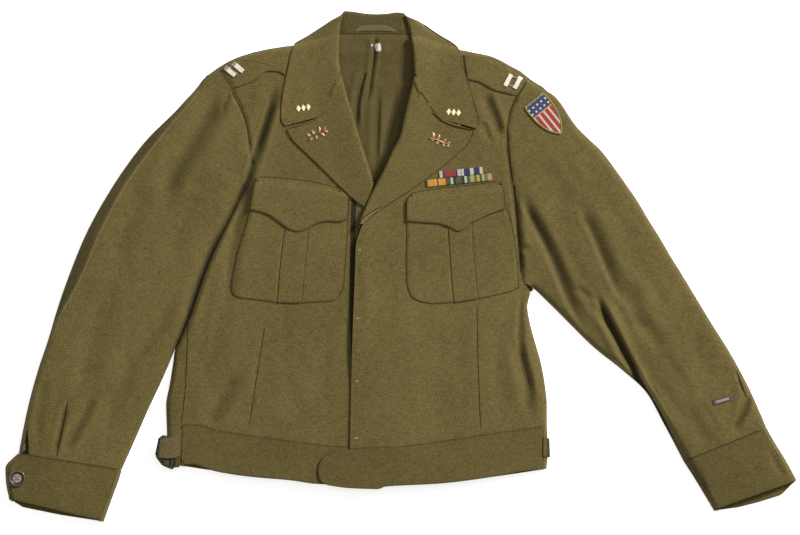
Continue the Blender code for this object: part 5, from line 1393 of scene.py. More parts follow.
def make_sleeve(side, table, top_rows, under_rows, sag):
    base = sleeve_lines(table)
    for name, step in (("under", STEP_UNDER), ("top", STEP)):
        rows = sleeve_rows(base, step)
        lines = smooth(base, rows)
        data = smooth([r[4:] for r in table], rows)
        if name == "under":
            ends = [(*r, 1.0) for r in data]
            under_sheet(f"sleeve_{side}_under", lines, ends, underside, radius=seam_radius(lines))
        else:
            xy = upper_rows(lines, open_starts(data), data[:, 2] + SEAM_CLOSE)
            z = height(xy)
            z[0] = ROLL_MID + 0.1
            cloth(f"sleeve_{side}_top", with_height(xy, z), CLOTH, radius=seam_radius(lines))

    lines, _ = refined(sleeve_lines(top_rows), STEP)
    xy = upper_rows(lines, CUFF_SEAM + SEAM_CLOSE, CUFF_SEAM + SEAM_CLOSE)
    cloth(f"cuff_{side}_top", with_height(xy, band_top(xy)), CLOTH, WOOL_BAND, seam=1.6)
    base = sleeve_lines(under_rows)
    shares, drops = zip((0, 0), *sag, (1, 0))
    base[-1, :, 1] -= np.interp(np.linspace(0, 1, 61), shares, drops) * UNIT_MM
    lines, rows = refined(base, STEP_UNDER)
    ends = [(CUFF_SEAM, 1.0, CUFF_SEAM, 1.0)] * len(rows)
    under_sheet(f"cuff_{side}_under", lines, ends, on_surface, seam=2.0)


# Waistband
def make_waistband():
    for name, table, seams, ground in (
        ("waistband_right", BAND_RIGHT, BAND_SEAM_RIGHT, band_top),
        ("waistband_left", BAND_LEFT, (BAND_SEAM_LEFT,) * len(BAND_LEFT), upper_band_top),
    ):
        lines, rows = refined(np.array([spread(curve(r), 91) for r in table]), STEP)
        xy = upper_rows(lines, smooth(seams, rows) + SEAM_CLOSE, 0.0)
        cloth(name, with_height(xy, ground(xy)), CLOTH, WOOL_BAND, seam=1.8)
    lines, rows = refined(np.array([spread(curve(r), 91) for r in BAND_BACK]), STEP_UNDER)
    ends = [(a, 1.0, BAND_SEAM_LEFT, 1.0) for a in smooth(BAND_SEAM_RIGHT, rows)]
    under_sheet("waistband_back", lines, ends, on_surface, seam=2.0)


# Lapels and collar
ROLL_RIGHT, ROLL_LEFT = (
    curve([r[:2] for r in leaf[::-1][:8] + lapel])
    for leaf, lapel in ((LEAF_RIGHT, LAPEL_RIGHT), (LEAF_LEFT, LAPEL_LEFT))
)


def turned_top(xy, panel, roll_line):
    """The outer face of a lapel or collar leaf where it lies on its panel: highest at its roll."""
    return panel(xy) + CLOTH + COLLAR_CLEAR + LAPEL_RISE * (1 - ease(nearest(xy, roll_line)[0] / LAPEL_SOFT))


def moved_to(line, points, off):
    """Points moved to the nearest places of a line, then off to its left."""
    out = []
    for p in points:
        k = np.argmin(np.linalg.norm(line - p, axis=1))
        t = line[min(k + 1, len(line) - 1)] - line[max(k - 1, 0)]
        out.append(line[k] + off * np.array([-t[1], t[0]]) / np.linalg.norm(t))
    return out


def turned(name, table, panel, roll_line, gorge, edge_down=None, step=2.6):
    """A lapel or collar leaf: the cloth comes from under, turns over its roll and lies on the panel.

    gorge: the seam between lapel and leaf, which end of the rows meets it, how many do, and how
    far off they stay.
    edge_down: for each row, how far its outer edge comes down to the middle height of the rolled sides.
    """
    line, end, count, off = gorge
    ends = paired(table)
    ends[:count, end] = moved_to(line, ends[:count, end], off)
    ends, where = refined(ends, step)
    rolled = ease((smooth([r[4] for r in table], where) - 0.8) / 0.2)
    down = smooth(edge_down or [0] * len(table), where)
    angle = np.linspace(-math.pi / 2, math.pi / 2, 11)
    cols = max(8, int(np.linalg.norm(ends[:, 1] - ends[:, 0], axis=1).max() / step))
    share = np.linspace(0, 1, cols + 1)[1:]
    foot, head = -CLOTH + 0.3, CLOTH + COLLAR_CLEAR + LAPEL_RISE
    middle = (foot + head) / 2
    bend = np.concatenate([[foot], middle + (head - middle) * np.sin(angle)])
    rows = []
    for pair, roll, drop in zip(ends, rolled, down):
        line = spread(pair, 41)
        full = length(line)
        squeeze = min(1.0, full / (ROLL_OVER * 2.2))
        turn = 5.0 * squeeze
        xy = along(line, np.concatenate([[ROLL_OVER * squeeze], turn * (1 - np.cos(angle))]))
        flat_s = 0.15 + 0.4 * np.arange(len(xy))
        flat = along(line, flat_s)
        z = roll * (panel(xy) + bend) + (1 - roll) * turned_top(flat, panel, roll_line)
        first = roll * turn + (1 - roll) * flat_s[-1]
        out = along(line, first + (full - first) * share)
        low = share ** 3 * drop
        z_out = turned_top(out, panel, roll_line) * (1 - low) + (ROLL_MID + 0.5) * low
        rows.append(np.concatenate([with_height(roll * xy + (1 - roll) * flat, z), with_height(out, z_out)]))
    return cloth(name, np.array(rows), CLOTH, WOOL_EDGE, radius=0.6)


def past_shoulder(xy):
    return height(xy, 0, CLOTH + COLLAR_CLEAR + GAP)


def past_shoulder_lapped(xy):
    return past_shoulder(xy) + lapped(xy)


GORGE_RIGHT = [
    (341, 71.6), (339.4, 80), (336.6, 88.6), (332.4, 96.6), (327.4, 104.6), (323.6, 111), (320.2, 117.4),
]
GORGE_LEFT = [
    (413.8, 74.6), (415.4, 82), (418.6, 89), (423.4, 96.6), (429, 104.6), (434.6, 112), (440.3, 119.9),
]


def make_lapels():
    right, left = curve(GORGE_RIGHT, 40), curve(GORGE_LEFT, 40)
    turned("lapel_right", LAPEL_RIGHT, height, ROLL_RIGHT, (right, 1, 3, -0.12))
    turned("lapel_left", LAPEL_LEFT, upper_front, ROLL_LEFT, (left, 1, 3, 0.12))
    down = [0] * 9 + [0.6, 1, 1]
    turned("collar_right", LEAF_RIGHT, past_shoulder, ROLL_RIGHT, (right, 0, 4, 0.12), down)
    turned("collar_left", LEAF_LEFT, past_shoulder_lapped, ROLL_LEFT, (left, 0, 4, -0.12), down)


def lining_tone(xy):
    """How much painted shade plan points get in the lining's folds: how deep they lie in them."""
    return -1.6 * fold_sum(xy, LINING_FOLDS)


def lining_face(xy):
    folds = 2.8 * fold_sum(xy, LINING_FOLDS)
    soft = 0.5 * rumple(xy, 26, 7) + 0.25 * rumple(xy, 12, 8)
    return underside(xy) + CLOTH + 3 * GAP + LINING + np.log1p(np.exp((folds + soft + 2.0) * 2)) / 2


NECK_ENDS = [(336.8, 24.5), (339.8, 17.6), (342.4, 13.0)], [(405.6, 14.6), (408.8, 19.6), (412, 26)]


def neck_path(y, seam_y, under_y):
    """Plan y and height of the collar's outer face behind the neck, from the lining's seam over it."""
    depth = y - seam_y
    inside = NECK_LIFT + CLOTH + LINING
    return np.array([
        (seam_y + 0.1, inside + 2.2), (y - depth * 0.72, inside + 3.2), (y - depth * 0.4, 9.4),
        (y - depth * 0.16, 9.3), (y - 2.2, 8.2), (y - 0.5, 6.4), (y, 4.4), (y - 0.6, 2.2), (y - 2.6, 0.5),
        (y - 6.0, 0.0), (y - depth * 0.7, 0.0), (under_y + 9, 0.0), (under_y, 0.0),
    ])


def make_neck():
    seam_y, under_y = place([(0, NECK_SEAM_Y), (0, UNDER_COLLAR_Y)])[:, 1]
    rows = []
    for x, y in spread(curve(NECK_ENDS[0] + NECK_TOP + NECK_ENDS[1]), 51):
        path = smooth(neck_path(y, seam_y, under_y), np.linspace(0, 12, 61))
        at = layout(np.array([x, y]))[0]
        path[:, 1] *= 1 - 0.22 * ease(max(345 - at, at - 403, 0) / 5.5)
        rows.append(np.concatenate([np.full((len(path), 1), x), path], axis=1))
    # painted shade: the collar behind the neck gets the darker copy of the wool
    cloth("collar_back", np.array(rows), CLOTH, WOOL_INSIDE_SHADE, probe=8)


def patch_rows(rows, step, cols_step):
    """Plan points of a small sheet through its rows, and their fractional row numbers."""
    lines, at = refined(np.array([spread(curve(r), 61) for r in rows]), step)
    cols = max(4, int(max(length(line) for line in lines) / cols_step))
    return np.array([spread(line, cols + 1) for line in lines]), at


def make_lining():
    rows = [[(336, 34.3), (376, 34.2), (410, 34.3)]]
    rows += [[(a[0] - 3, a[1]), b, (c[0] + 3, c[1])] for a, b, c in LINING_ROWS]
    xy, _ = patch_rows(rows, 2.0, 2.0)
    z = lining_face(xy)
    top = NECK_LIFT + CLOTH + LINING + 2.0
    z = z + (top - z) * ease(1 - (layout(xy)[1] - 34.2) / 5)
    cloth("back_lining", with_height(xy, z), LINING, LINING_MAT, "lining", tone=lining_tone)


# Pockets and straps
def pleat_lines(table):
    return smooth(paired(table), np.linspace(0, 2, 21))[::-1]


def pleat_rise(xy, table):
    """1 between the two folds of a box pleat, 0 outside, with a groove at each fold."""
    rows = pleat_lines(table)
    x, y = xy[..., 0], xy[..., 1]
    left, right = (np.interp(y, rows[:, k, 1], rows[:, k, 0]) for k in (0, 1))
    past_left, past_right = x - left + 0.35, x - right - 0.35
    rise = ease(past_left / 0.7) * ease(-past_right / 0.7)
    return rise - 0.75 * (np.exp(-(past_left / 0.6) ** 2) + np.exp(-(past_right / 0.6) ** 2))


def pleat_columns(line, table):
    """Column distances along a pocket row, with close ones at the folds of the pleat."""
    row = spread(line, 601)
    inside = pleat_rise(row, table)
    full = length(line)
    at = np.linspace(0, full, 601)
    a = at[np.argmax(inside > 0.5)]
    b = full - at[np.argmax(inside[::-1] > 0.5)]
    fold = np.array([-0.9, -0.45, -0.2, 0, 0.2, 0.45, 0.9])
    return np.concatenate([
        np.linspace(0, a - 1.6, 16), a + fold, np.linspace(a + 1.6, b - 1.6, 12), b + fold,
        np.linspace(b + 1.6, full, 18),
    ])


def make_pockets():
    for side, rows, flap, pleat, lift in (
        ("right", POCKET_RIGHT, (FLAP_RIGHT_TOP, FLAP_RIGHT_MID, FLAP_RIGHT_END), PLEAT_RIGHT, 0.0),
        ("left", POCKET_LEFT, (FLAP_LEFT_TOP, FLAP_LEFT_MID, FLAP_LEFT_END), PLEAT_LEFT, 1.0),
    ):
        lines, _ = refined(np.array([spread(place(r), 91) for r in rows]), 2.6)
        xy = np.array([along(line, pleat_columns(line, pleat)) for line in lines])
        sides = cumulative(xy, 1), cumulative(xy[:, ::-1], 1)[:, ::-1], cumulative(xy[::-1])[::-1]
        near = np.min(sides, axis=0)
        sewn = 0.75 * (1 - ease(near / 3.5))
        z = height(xy) + lift * lapped(xy) + POCKET_CLEAR + CLOTH_THIN
        z += PLEAT_RISE * pleat_rise(xy, pleat) - sewn
        cloth(f"pocket_{side}", with_height(xy, z), CLOTH_THIN, WOOL_POCKET, seam=1.7)

        share = np.linspace(0, 2, 27)
        lines = smooth(np.array([spread(curve(row, 8), 121) for row in flap]), share)
        xy = np.array([spread(line, 67) for line in lines])
        z = height(xy) + lift * lapped(xy) + POCKET_CLEAR + CLOTH_THIN
        z += ease(share[:, None] / 0.9) * (CLEAR + CLOTH_THIN + PLEAT_RISE)
        cloth(f"pocket_flap_{side}", with_height(xy, z), CLOTH_THIN, WOOL_POCKET, seam=1.6)


def loop_top(xy):
    """The upper face of the shoulder loops."""
    return height(xy, 1.5 * CLEAR + CLOTH_THIN)


def make_loops():
    for side, table in (("right", LOOP_RIGHT), ("left", LOOP_LEFT)):
        xy, _ = patch_rows([[r[:2], r[2:]] for r in table], 2.2, 2.2)
        z = loop_top(xy) - 2.2 * (1 - ease(cumulative(xy) / 9))
        cloth(f"shoulder_loop_{side}", with_height(xy, z), CLOTH_THIN, WOOL_POCKET, seam=1.6)


# Trim
def axes(angle):
    a = math.radians(angle)
    return np.array([[math.cos(a), math.sin(a)], [-math.sin(a), math.cos(a)]])


def turned_xy(x, y, angle, local):
    """Points in millimetres about a centre in layout units."""
    return place([(x, y)])[0] + np.asarray(local, float) @ axes(angle)


def solid(name, mesh_parts, mat, slot, nodes=()):
    """One object from closed parts, each a (vertices in mm, faces) pair."""
    verts, faces = [], []
    for part_verts, part_faces in mesh_parts:
        faces += [tuple(len(verts) + i for i in f) for f in part_faces]
        verts += np.asarray(part_verts, float).tolist()
    points = np.array(verts) * MM
    mesh = bpy.data.meshes.new(name)
    mesh.from_pydata(points.tolist(), [], faces)
    mesh.validate()
    mesh.update()
    bm = bmesh.new()
    bm.from_mesh(mesh)
    bmesh.ops.recalc_face_normals(bm, faces=bm.faces)
    bm.to_mesh(mesh)
    bm.free()
    mesh.polygons.foreach_set("use_smooth", np.ones(len(mesh.polygons), bool))
    mesh.set_sharp_from_angle(angle=math.radians(38))
    if slot == "wool":
        put_uv(mesh, points[:, :2])
    return add_piece(name, mesh, mat, nodes)


def slab(grid_xy, ground, rise, wall, bevel=0.3, dome=0.0):
    """A thin plate over a grid of plan points, following the ground, with bevelled borders."""
    rows, cols = grid_xy.shape[:2]
    z = ground(grid_xy) + rise
    top = z + wall
    if dome:
        u, v = np.linspace(-1, 1, cols)[None, :], np.linspace(-1, 1, rows)[:, None]
        top = top + dome * (1 - u * u) * (1 - v * v)
    index = np.arange(rows * cols).reshape(rows, cols)
    ring = np.concatenate([index[0], index[1:, -1], index[-1, -2::-1], index[-2:0:-1, 0]])
    inward = grid_xy.copy()
    for axis, at in ((1, (slice(None), 0)), (1, (slice(None), -1)), (0, (0,)), (0, (-1,))):
        step = np.gradient(grid_xy, axis=axis)[at]
        step = step / np.maximum(np.linalg.norm(step, axis=-1, keepdims=True), 1e-9) * bevel
        inward[at] += -step if at[-1] == -1 else step
    rim = grid_xy.reshape(-1, 2)[ring]
    verts = np.concatenate([
        with_height(inward, top).reshape(-1, 3), with_height(rim, top.ravel()[ring] - bevel),
        with_height(rim, z.ravel()[ring]), with_height(grid_xy, z).reshape(-1, 3),
    ])
    n, m = rows * cols, len(ring)
    upper, lower = n + np.arange(m), n + m + np.arange(m)
    levels = [ring, upper, lower, n + 2 * m + ring]
    faces = [quads(index), quads(n + 2 * m + index)[:, [0, 3, 2, 1]]]
    faces += [np.stack([a, b, np.roll(b, -1), np.roll(a, -1)], axis=1) for a, b in zip(levels, levels[1:])]
    return verts, np.concatenate(faces).tolist()


def box_grid(x, y, angle, wide, tall, rows, cols):
    u, v = np.meshgrid(np.linspace(-0.5, 0.5, cols) * wide, np.linspace(0.5, -0.5, rows) * tall)
    return turned_xy(x, y, angle, np.stack([u, v], axis=-1))


def tube(points, radius, sides=8, closed=False, flat=1.0):
    """A round bar along points in mm, with capped ends."""
    p = np.asarray(points, float)
    n = len(p)
    t = np.roll(p, -1, 0) - np.roll(p, 1, 0) if closed else np.gradient(p, axis=0)
    t /= np.maximum(np.linalg.norm(t, axis=1, keepdims=True), 1e-9)
    side = np.cross(t, (0, 0, 1.0))
    side[np.linalg.norm(side, axis=1) < 1e-3] = (1.0, 0, 0)
    side /= np.linalg.norm(side, axis=1, keepdims=True)
    top = np.cross(side, t)
    radius = np.broadcast_to(np.asarray(radius, float), (n,))
    angle = np.linspace(0, 2 * math.pi, sides, endpoint=False)[None, :, None]
    ring = side[:, None] * np.cos(angle) + flat * top[:, None] * np.sin(angle)
    verts = (p[:, None] + ring * radius[:, None, None]).reshape(-1, 3)
    index = np.arange(n * sides).reshape(n, sides)
    index = np.concatenate([index, index[:, :1]], axis=1)
    if closed:
        return verts, quads(np.concatenate([index, index[:1]])).tolist()
    return verts, quads(index).tolist() + [index[0, -2::-1].tolist(), index[-1, :-1].tolist()]


def circle(count):
    angle = np.linspace(0, 2 * math.pi, count, endpoint=False)
    return np.stack([np.cos(angle), np.sin(angle)], axis=1)


def lathe(centre, low, profile, radius, steps=40):
    """A closed turned part: radius shares and heights from the foot's centre to the top's centre."""
    rings = [with_height(centre + r * radius * circle(steps), low + h) for r, h in profile[1:-1]]
    foot, tip = (with_height(np.array([centre]), low + profile[k][1]) for k in (0, -1))
    verts = np.concatenate([foot, *rings, tip])
    index = 1 + np.arange(len(rings) * steps).reshape(-1, steps)
    index = np.concatenate([index, index[:, :1]], axis=1)
    first, last = index[0].tolist(), index[-1].tolist()
    faces = [(0, b, a) for a, b in zip(first, first[1:])] + quads(index).tolist()
    return verts, faces + [(a, b, len(verts) - 1) for a, b in zip(last, last[1:])]


def right_lapel_top(xy):
    return turned_top(xy, height, ROLL_RIGHT)


def left_lapel_top(xy):
    return turned_top(xy, upper_front, ROLL_LEFT)


def make_rank_bars():
    long, wide = RANK_BAR
    for name, x, y, angle in RANK_BARS:
        grid = box_grid(x, y, angle, long * 1.1, wide * 1.24, 4, 9)
        solid("metal_" + name, [slab(grid, loop_top, LYING, 1.5, 0.7)], SILVER, "silver", (name,))
    for side, pair in (("right", RANK_BARS[:2]), ("left", RANK_BARS[2:])):
        parts = []
        for share in (-0.36, 0.36):
            xy = np.linspace(*(turned_xy(*bar[1:], (share * long, 0)) for bar in pair), 5)
            parts.append(tube(with_height(xy, loop_top(xy) + LYING + 0.7), 0.55, 8))
        solid("metal_rank_links_" + side, parts, SILVER, "silver")


# Pins: name, layout x, y, angle, what they lie on
COLLAR_PINS = [
    ("collar_pin_right", 303.5, 108, 8, right_lapel_top),
    ("collar_pin_left", 453.5, 112.5, -6, left_lapel_top),
]
LAPEL_PINS = [
    ("lapel_pin_right", 316.5, 134.5, 24, right_lapel_top),
    ("lapel_pin_left", 439.5, 141, -24, left_lapel_top),
]
LOZENGE = np.array([(3.4, 0), (0, 5.0), (-3.4, 0), (0, -5.0)])
STEM = [(-14.6, -2.8), (-7.5, -0.6), (0, 0), (7.5, -0.6), (14.6, 2.0)]
# Leaves of the sprig: place on its stem, lean in degrees, length
LEAVES = [(-8.6, 124, 8.6), (-1.8, 108, 9.4), (4.8, 66, 9.0), (11, 42, 6.6),
          (-7.4, -126, 7.8), (-0.6, -108, 8.8), (5.8, -62, 8.2), (11.4, -36, 6.0)]
LEAF = np.array([(0, 0), (0.3, 2.1), (0.65, 1.8), (1, 0), (0.65, -1.8), (0.3, -2.1)])


def make_pins():
    for name, x, y, angle, ground in COLLAR_PINS:
        at = [(k * 7.0, 0.0) for k in (-1, 0, 1)]
        parts = [facet(x, y, angle, off, LOZENGE + off, ground, 0.5, 0.9) for off in at]
        for u in (-3.6, 3.6):
            xy = turned_xy(x, y, angle, [(u - 1.4, 0), (u, 0), (u + 1.4, 0)])
            parts.append(tube(with_height(xy, ground(xy) + 0.75), 0.6, 8))
        solid("metal_" + name, parts, GILT, "gold", (name,))
    for name, x, y, angle, ground in LAPEL_PINS:
        xy = turned_xy(x, y, angle, smooth(STEM, np.linspace(0, 4, 13)))
        parts = [tube(with_height(xy, ground(xy) + 0.9), 0.95, 8)]
        for at, lean, long in LEAVES:
            along_leaf, beside_leaf = axes(lean)
            outline = (at, 0) + np.outer(LEAF[:, 0] * long, along_leaf) + np.outer(LEAF[:, 1], beside_leaf)
            parts.append(facet(x, y, angle, (at, 0) + along_leaf * long * 0.5, outline, ground, 0.4, 0.95))
        solid("metal_" + name, parts, COPPER, "copper", (name,))


def facet(x, y, angle, centre, outline, ground, low, tall):
    """A small faceted boss over a plan outline, raised at its centre."""
    n = len(outline)
    rim, mid = turned_xy(x, y, angle, outline), turned_xy(x, y, angle, [centre])
    foot, root = ground(rim) + low, ground(mid) + low
    verts = np.concatenate([with_height(rim, foot), with_height(rim, foot + 0.35), with_height(mid, root),
                            with_height(mid, root + 0.35 + tall)])
    faces = []
    for k in range(n):
        q = (k + 1) % n
        faces += [(k, q, n + q, n + k), (q, k, 2 * n), (n + k, n + q, 2 * n + 1)]
    return verts, faces


def make_ribbons():
    """Two rows of ribbons: each ribbon a ribbed strip folded round its bar."""
    for (name, x, y, wide, angle), mats in zip(RIBBON_BARS, (RIBBONS[:2], RIBBONS[2:])):
        for k, mat in enumerate(mats):
            a, b = (((k + end) / len(mats) - 0.5) * wide for end in (0, 1))
            u, v = np.linspace(a + 0.15, b - 0.15, 15), np.linspace(RIBBON_TALL / 2, -RIBBON_TALL / 2, 7)
            uv = np.meshgrid(u, v)
            part = slab(turned_xy(x, y, angle, np.stack(uv, -1)), upper_front, 0.6, 1.7, 0.5, dome=0.25)
            obj = solid(f"{name}_ribbon_{k + 1}", [part], mat, "ribbon", (name,) if k == 0 else ())
            plan_uv(obj, x, y, angle, (b - a, RIBBON_TALL), ((a + b) / 2, 0))


def plan_uv(obj, x, y, angle, size=None, middle=(0, 0)):
    """Coordinates of 0 to 1 across a flat piece; without a size, millimetres from its centre."""
    co = np.array([v.co[:2] for v in obj.data.vertices]) / MM
    uv = (co - place([(x, y)])[0]) @ axes(angle).T - middle
    put_uv(obj.data, uv if size is None else uv / size + 0.5)


def shield_grid(x, y, long, wide, angle, rows=15, cols=9):
    at = np.linspace(0, 1, rows)[:, None]
    widths = np.interp(at, *np.transpose(SHIELD_OUTLINE))
    u = np.linspace(-1, 1, cols)[None, :] * widths * wide / 2
    v = (0.5 - at) * long + np.zeros_like(u)
    return turned_xy(x, y, angle, np.stack([u, v], -1))


def make_patch():
    x, y, long, wide = 547.4, 117, 62, 36
    grid = shield_grid(x, y, long, wide, PATCH_ANGLE)
    obj = solid("patch_ground", [slab(grid, height, 0.8, 1.2, 0.4)], PATCH_MAT, "patch", ("shoulder_patch",))
    plan_uv(obj, x, y, PATCH_ANGLE)
    ring = np.concatenate([grid[0], grid[1:, -1], grid[-1, ::-1][1:], grid[1:-1, 0][::-1]])
    xy = ring + (place([(x, y)])[0] - ring) * 0.035
    border_line = with_height(xy, height(xy) + 0.8 + 1.15)
    solid("patch_border", [tube(border_line, 1.05, 8, closed=True, flat=0.7)], PATCH_BORDER, "patch")


BUTTON_AT = (17.8, 478)
# Radius shares and heights in mm, from the foot's centre over the rim to the middle of the hollow
BUTTON_PROFILE = [(0, 0), (0.6, 0.0), (0.82, 0.12), (0.94, 0.6), (1.0, 1.2), (1.0, 2.2), (0.97, 2.75),
                  (0.91, 3.0),
                  (0.84, 2.95), (0.78, 2.6), (0.72, 2.2), (0.6, 2.0), (0.4, 1.9), (0, 1.85)]
EYE_PROFILE = [(0, 0), (1, 0), (1, 1.0), (0.75, 1.0), (0, 0.9)]
FACE_PROFILE = [(0, 0), (1, 0), (1, 0.12), (0.9, 0.2), (0, 0.22)]
BUTTON_RIDGES = [(0.91, 0.26, 2.9), (0.5, 0.3, 1.9)]        # radius share, half thickness, height
BUTTON_THREADS = [((-2, -2), (2, 2)), ((-2, 2), (2, -2)), ((-2, -1.8), (2.1, 1.9))]


def make_button():
    centre = place([BUTTON_AT])[0]
    ring = centre + BUTTON_RADIUS * circle(24)
    low = float(np.max(band_top(np.concatenate([ring, [centre]])))) + GAP
    solid("horn_cuff_button", [lathe(centre, low, BUTTON_PROFILE, BUTTON_RADIUS, 48)], HORN, "horn",
          ("cuff_button_right",))
    holes = (-2, -2), (2, -2), (2, 2), (-2, 2)
    eyes = [lathe(centre + at, low + 1.2, EYE_PROFILE, 1.05, 16) for at in holes]
    solid("horn_button_eyes", eyes, EYE_MAT, "horn")
    face = lathe(centre, low + 1.86, FACE_PROFILE, BUTTON_RADIUS * 0.5, 32)
    solid("horn_button_face", [face], HORN_FACE, "horn")
    # rings of painted highlight on the rim and the inner ridge
    ridges = [tube(with_height(centre + BUTTON_RADIUS * share * circle(48), low + tall), fat, 8, closed=True)
              for share, fat, tall in BUTTON_RIDGES]
    solid("horn_button_ridges", ridges, HORN_RIM_HIGHLIGHT, "horn")
    arch = np.sin(np.linspace(0, math.pi, 7)) * 0.6
    threads = [tube(with_height(np.linspace(centre + a, centre + b, 7), low + 1.9 + 0.1 * k + arch), 0.34, 6)
               for k, (a, b) in enumerate(BUTTON_THREADS)]
    solid("thread_button", threads, THREAD_LIGHT, "horn")


BUCKLE = [(160.8, 437), (157.2, 456.5), (163.4, 464.4), (173.8, 468.6), (177.4, 450), (179, 438.4)]


def make_buckle():
    corners = place(BUCKLE)
    sides = zip(corners, np.roll(corners, -1, axis=0))
    xy = np.array([a + (b - a) * t for a, b in sides for t in (0.12, 0.3, 0.5, 0.7, 0.88)])
    at = np.arange(len(xy))
    fat = np.where((at < 5) | (at >= 28), 3.0, np.where(at < 15, 1.7, 1.05))
    parts = [tube(with_height(xy, BUCKLE_Z), fat, 10, closed=True, flat=0.6)]
    for start, stop, count, thick in (
        (corners[0] + (1.5, -1.0), corners[1] + (2.6, 3.0), 9, 2.3),
        (corners[1] + (3.4, 1.0), corners[2] + (3.0, 2.2), 7, 2.0),
    ):
        parts.append(tube(with_height(np.linspace(start, stop, count), BUCKLE_Z - 0.6), thick, 10, flat=0.45))
    bar = np.linspace(corners[0] * 0.25 + corners[5] * 0.75, corners[2] * 0.35 + corners[3] * 0.65, 7)
    parts.append(tube(with_height(bar, BUCKLE_Z - 0.4), BUCKLE_BAR * 0.7, 8))
    for t in (0.25, 0.6):
        foot = corners[0] * (1 - t) + corners[1] * t
        prong = np.linspace(foot, foot + (6.5, -1.0), 5)
        parts.append(tube(with_height(prong, BUCKLE_Z + 0.3), np.linspace(0.8, 0.25, 5), 8))
    solid("metal_side_buckle", parts, DARK_METAL, "dark_metal", ("side_buckle",))


def make_fray():
    """Loose threads at the cut end of the right strap."""
    fray = []
    for k in range(13):
        share = k / 12
        p = place([(179 - 0.6 * share, 435.4 + 20 * share)])[0]
        q = p + (1.6 + 1.1 * lattice(np.int64(k), np.int64(3), 5), 0.9 * lattice(np.int64(k), np.int64(8), 5))
        z = band_top(p[None])[0] + CLEAR + CLOTH_THIN + 1.0 + np.array([0.2, 0.5, 0.4, 0.0])
        fray.append(tube(with_height(np.linspace(p - (1.0, 0), q, 4), z), 0.22, 5))
    solid("thread_strap_fray", fray, THREAD_LIGHT, "wool")


STRAP_RIGHT = [
    [(180, 434.6), (179, 456)], [(176, 435.4), (175.4, 457.4)], [(171, 436.4), (170.4, 458)],
    [(166, 437.2), (164.8, 458)], [(160.6, 437.6), (158.4, 457.2)],
]
STRAP_END = [
    [(161.4, 456.6), (180, 455.8)], [(162.4, 460.6), (180.4, 460.4)], [(165.8, 464.4), (180.2, 464.2)],
    [(171.6, 467.6), (179.4, 467)],
]
STRAP_LEFT = [
    [(543, 438), (543, 456)], [(544.5, 437.6), (544.5, 456.6)], [(546.3, 437.4), (546.4, 457)],
    [(548.2, 438), (548.8, 457.4)], [(549.6, 439), (550.2, 457.4)],
]


def make_side_straps():
    xy, at = patch_rows(STRAP_RIGHT, 1.2, 1.4)
    over = BUCKLE_Z + BUCKLE_BAR + GAP + CLOTH_THIN - smooth([2.2, 0.3, 0, 0, 0.7], at)[:, None]
    z = np.maximum(band_top(xy) + CLEAR + CLOTH_THIN, over) + 0.12 * rumple(xy, 7, 21)
    cloth("side_strap_right", with_height(xy, z), CLOTH_THIN, STRAP, seam=1.6)
    make_fray()
    xy, _ = patch_rows(STRAP_END, 1.2, 1.4)
    # painted shade: the strap's end under the buckle gets a fold shade
    cloth("strap_end_right", with_height(xy, BUCKLE_Z - 1.2 + 0.1 * rumple(xy, 6, 31)), CLOTH_THIN, WOOL_BAND,
          nodes=(), tone=lambda at: 2.6 + 0.4 * rumple(at, 5, 33))

    xy, at = patch_rows(STRAP_LEFT, 1.2, 1.4)
    z = band_top(xy) + CLEAR + CLOTH_THIN + smooth([0, 0, 0.4, 0, 0], at)[:, None]
    at_side = np.argmin(np.abs(at - 2))
    fall = smooth([0, 0, 0, 2.2, 6.0], at)[:, None]
    z = np.where(at[:, None] > 2, z[at_side][None] - fall, z)
    # painted shade where the strap turns down past the side
    cloth("side_strap_left", with_height(xy, z), CLOTH_THIN, WOOL_BAND, seam=1.6,
          tone=lambda at: 1.0 + 4.0 * ease((layout(at)[0] - 546) / 2))


HANGER = [
    [(355.5, 30), (355.5, 31.6)], [(360, 26.8), (360, 31.2)], [(368, 25.3), (368, 30.9)],
    [(377, 25), (377, 30.9)], [(386, 25.7), (386, 31.1)], [(392, 28), (392, 31.4)],
    [(395.6, 30), (395.6, 31.8)],
]
# Scraps of a torn-out label: layout x, y, width, height, angle, how far each column still reaches
SCRAPS = [
    (378, 47.6, 8.5, 12.0, 6, (0.55, 1.0, 0.8, 1.0, 0.6)),
    (372, 45.4, 2.2, 4.0, -20, (1, 0.7, 0.4, 0.6, 1)),
]


def make_neck_trim():
    xy, at = patch_rows(HANGER, 1.0, 1.0)
    arch = smooth([0, 0.5, 0.9, 1, 0.9, 0.5, 0], at)[:, None]
    z = 7.1 + (NECK_SEAM_Y - layout(xy)[1]) * 0.14 + CLEAR + LINING + 0.9 * arch
    cloth("hanger_loop", with_height(xy, z), LINING, TAPE, "loop", seam=1.2)
    for k, (x, y, wide, tall, angle, edge) in enumerate(SCRAPS):
        u, v = np.meshgrid(np.linspace(-0.5, 0.5, 5), np.linspace(0.5, -0.5, 7))
        local = np.stack([u * wide, v * tall * edge], axis=-1)
        local[0, 1::2, 1] += 0.6
        grid = turned_xy(x, y, angle, local)
        face = with_height(grid, lining_face(grid) + 1.4 + 0.25 * np.sin(local[..., 0] * 1.7))
        obj = add_piece(f"label_scrap_{k + 1}", sheet_mesh("label", face, 0.5), LABEL,
                        ("label_remnant",) if k == 0 else ())
        if k == 0:
            wide, tall = wide * MM * 1.2, tall * MM * 1.05


def make_service_bar():
    x, y, angle, long, wide = 722, 400, 16, 27, 8.2
    grid = box_grid(x, y, angle, long, wide, 7, 21)
    obj = solid("braid_service_bar", [slab(grid, height, LYING, 1.1, 0.35)], BRAID, "braid", ("service_bar",))
    plan_uv(obj, x, y, angle, (long, wide))


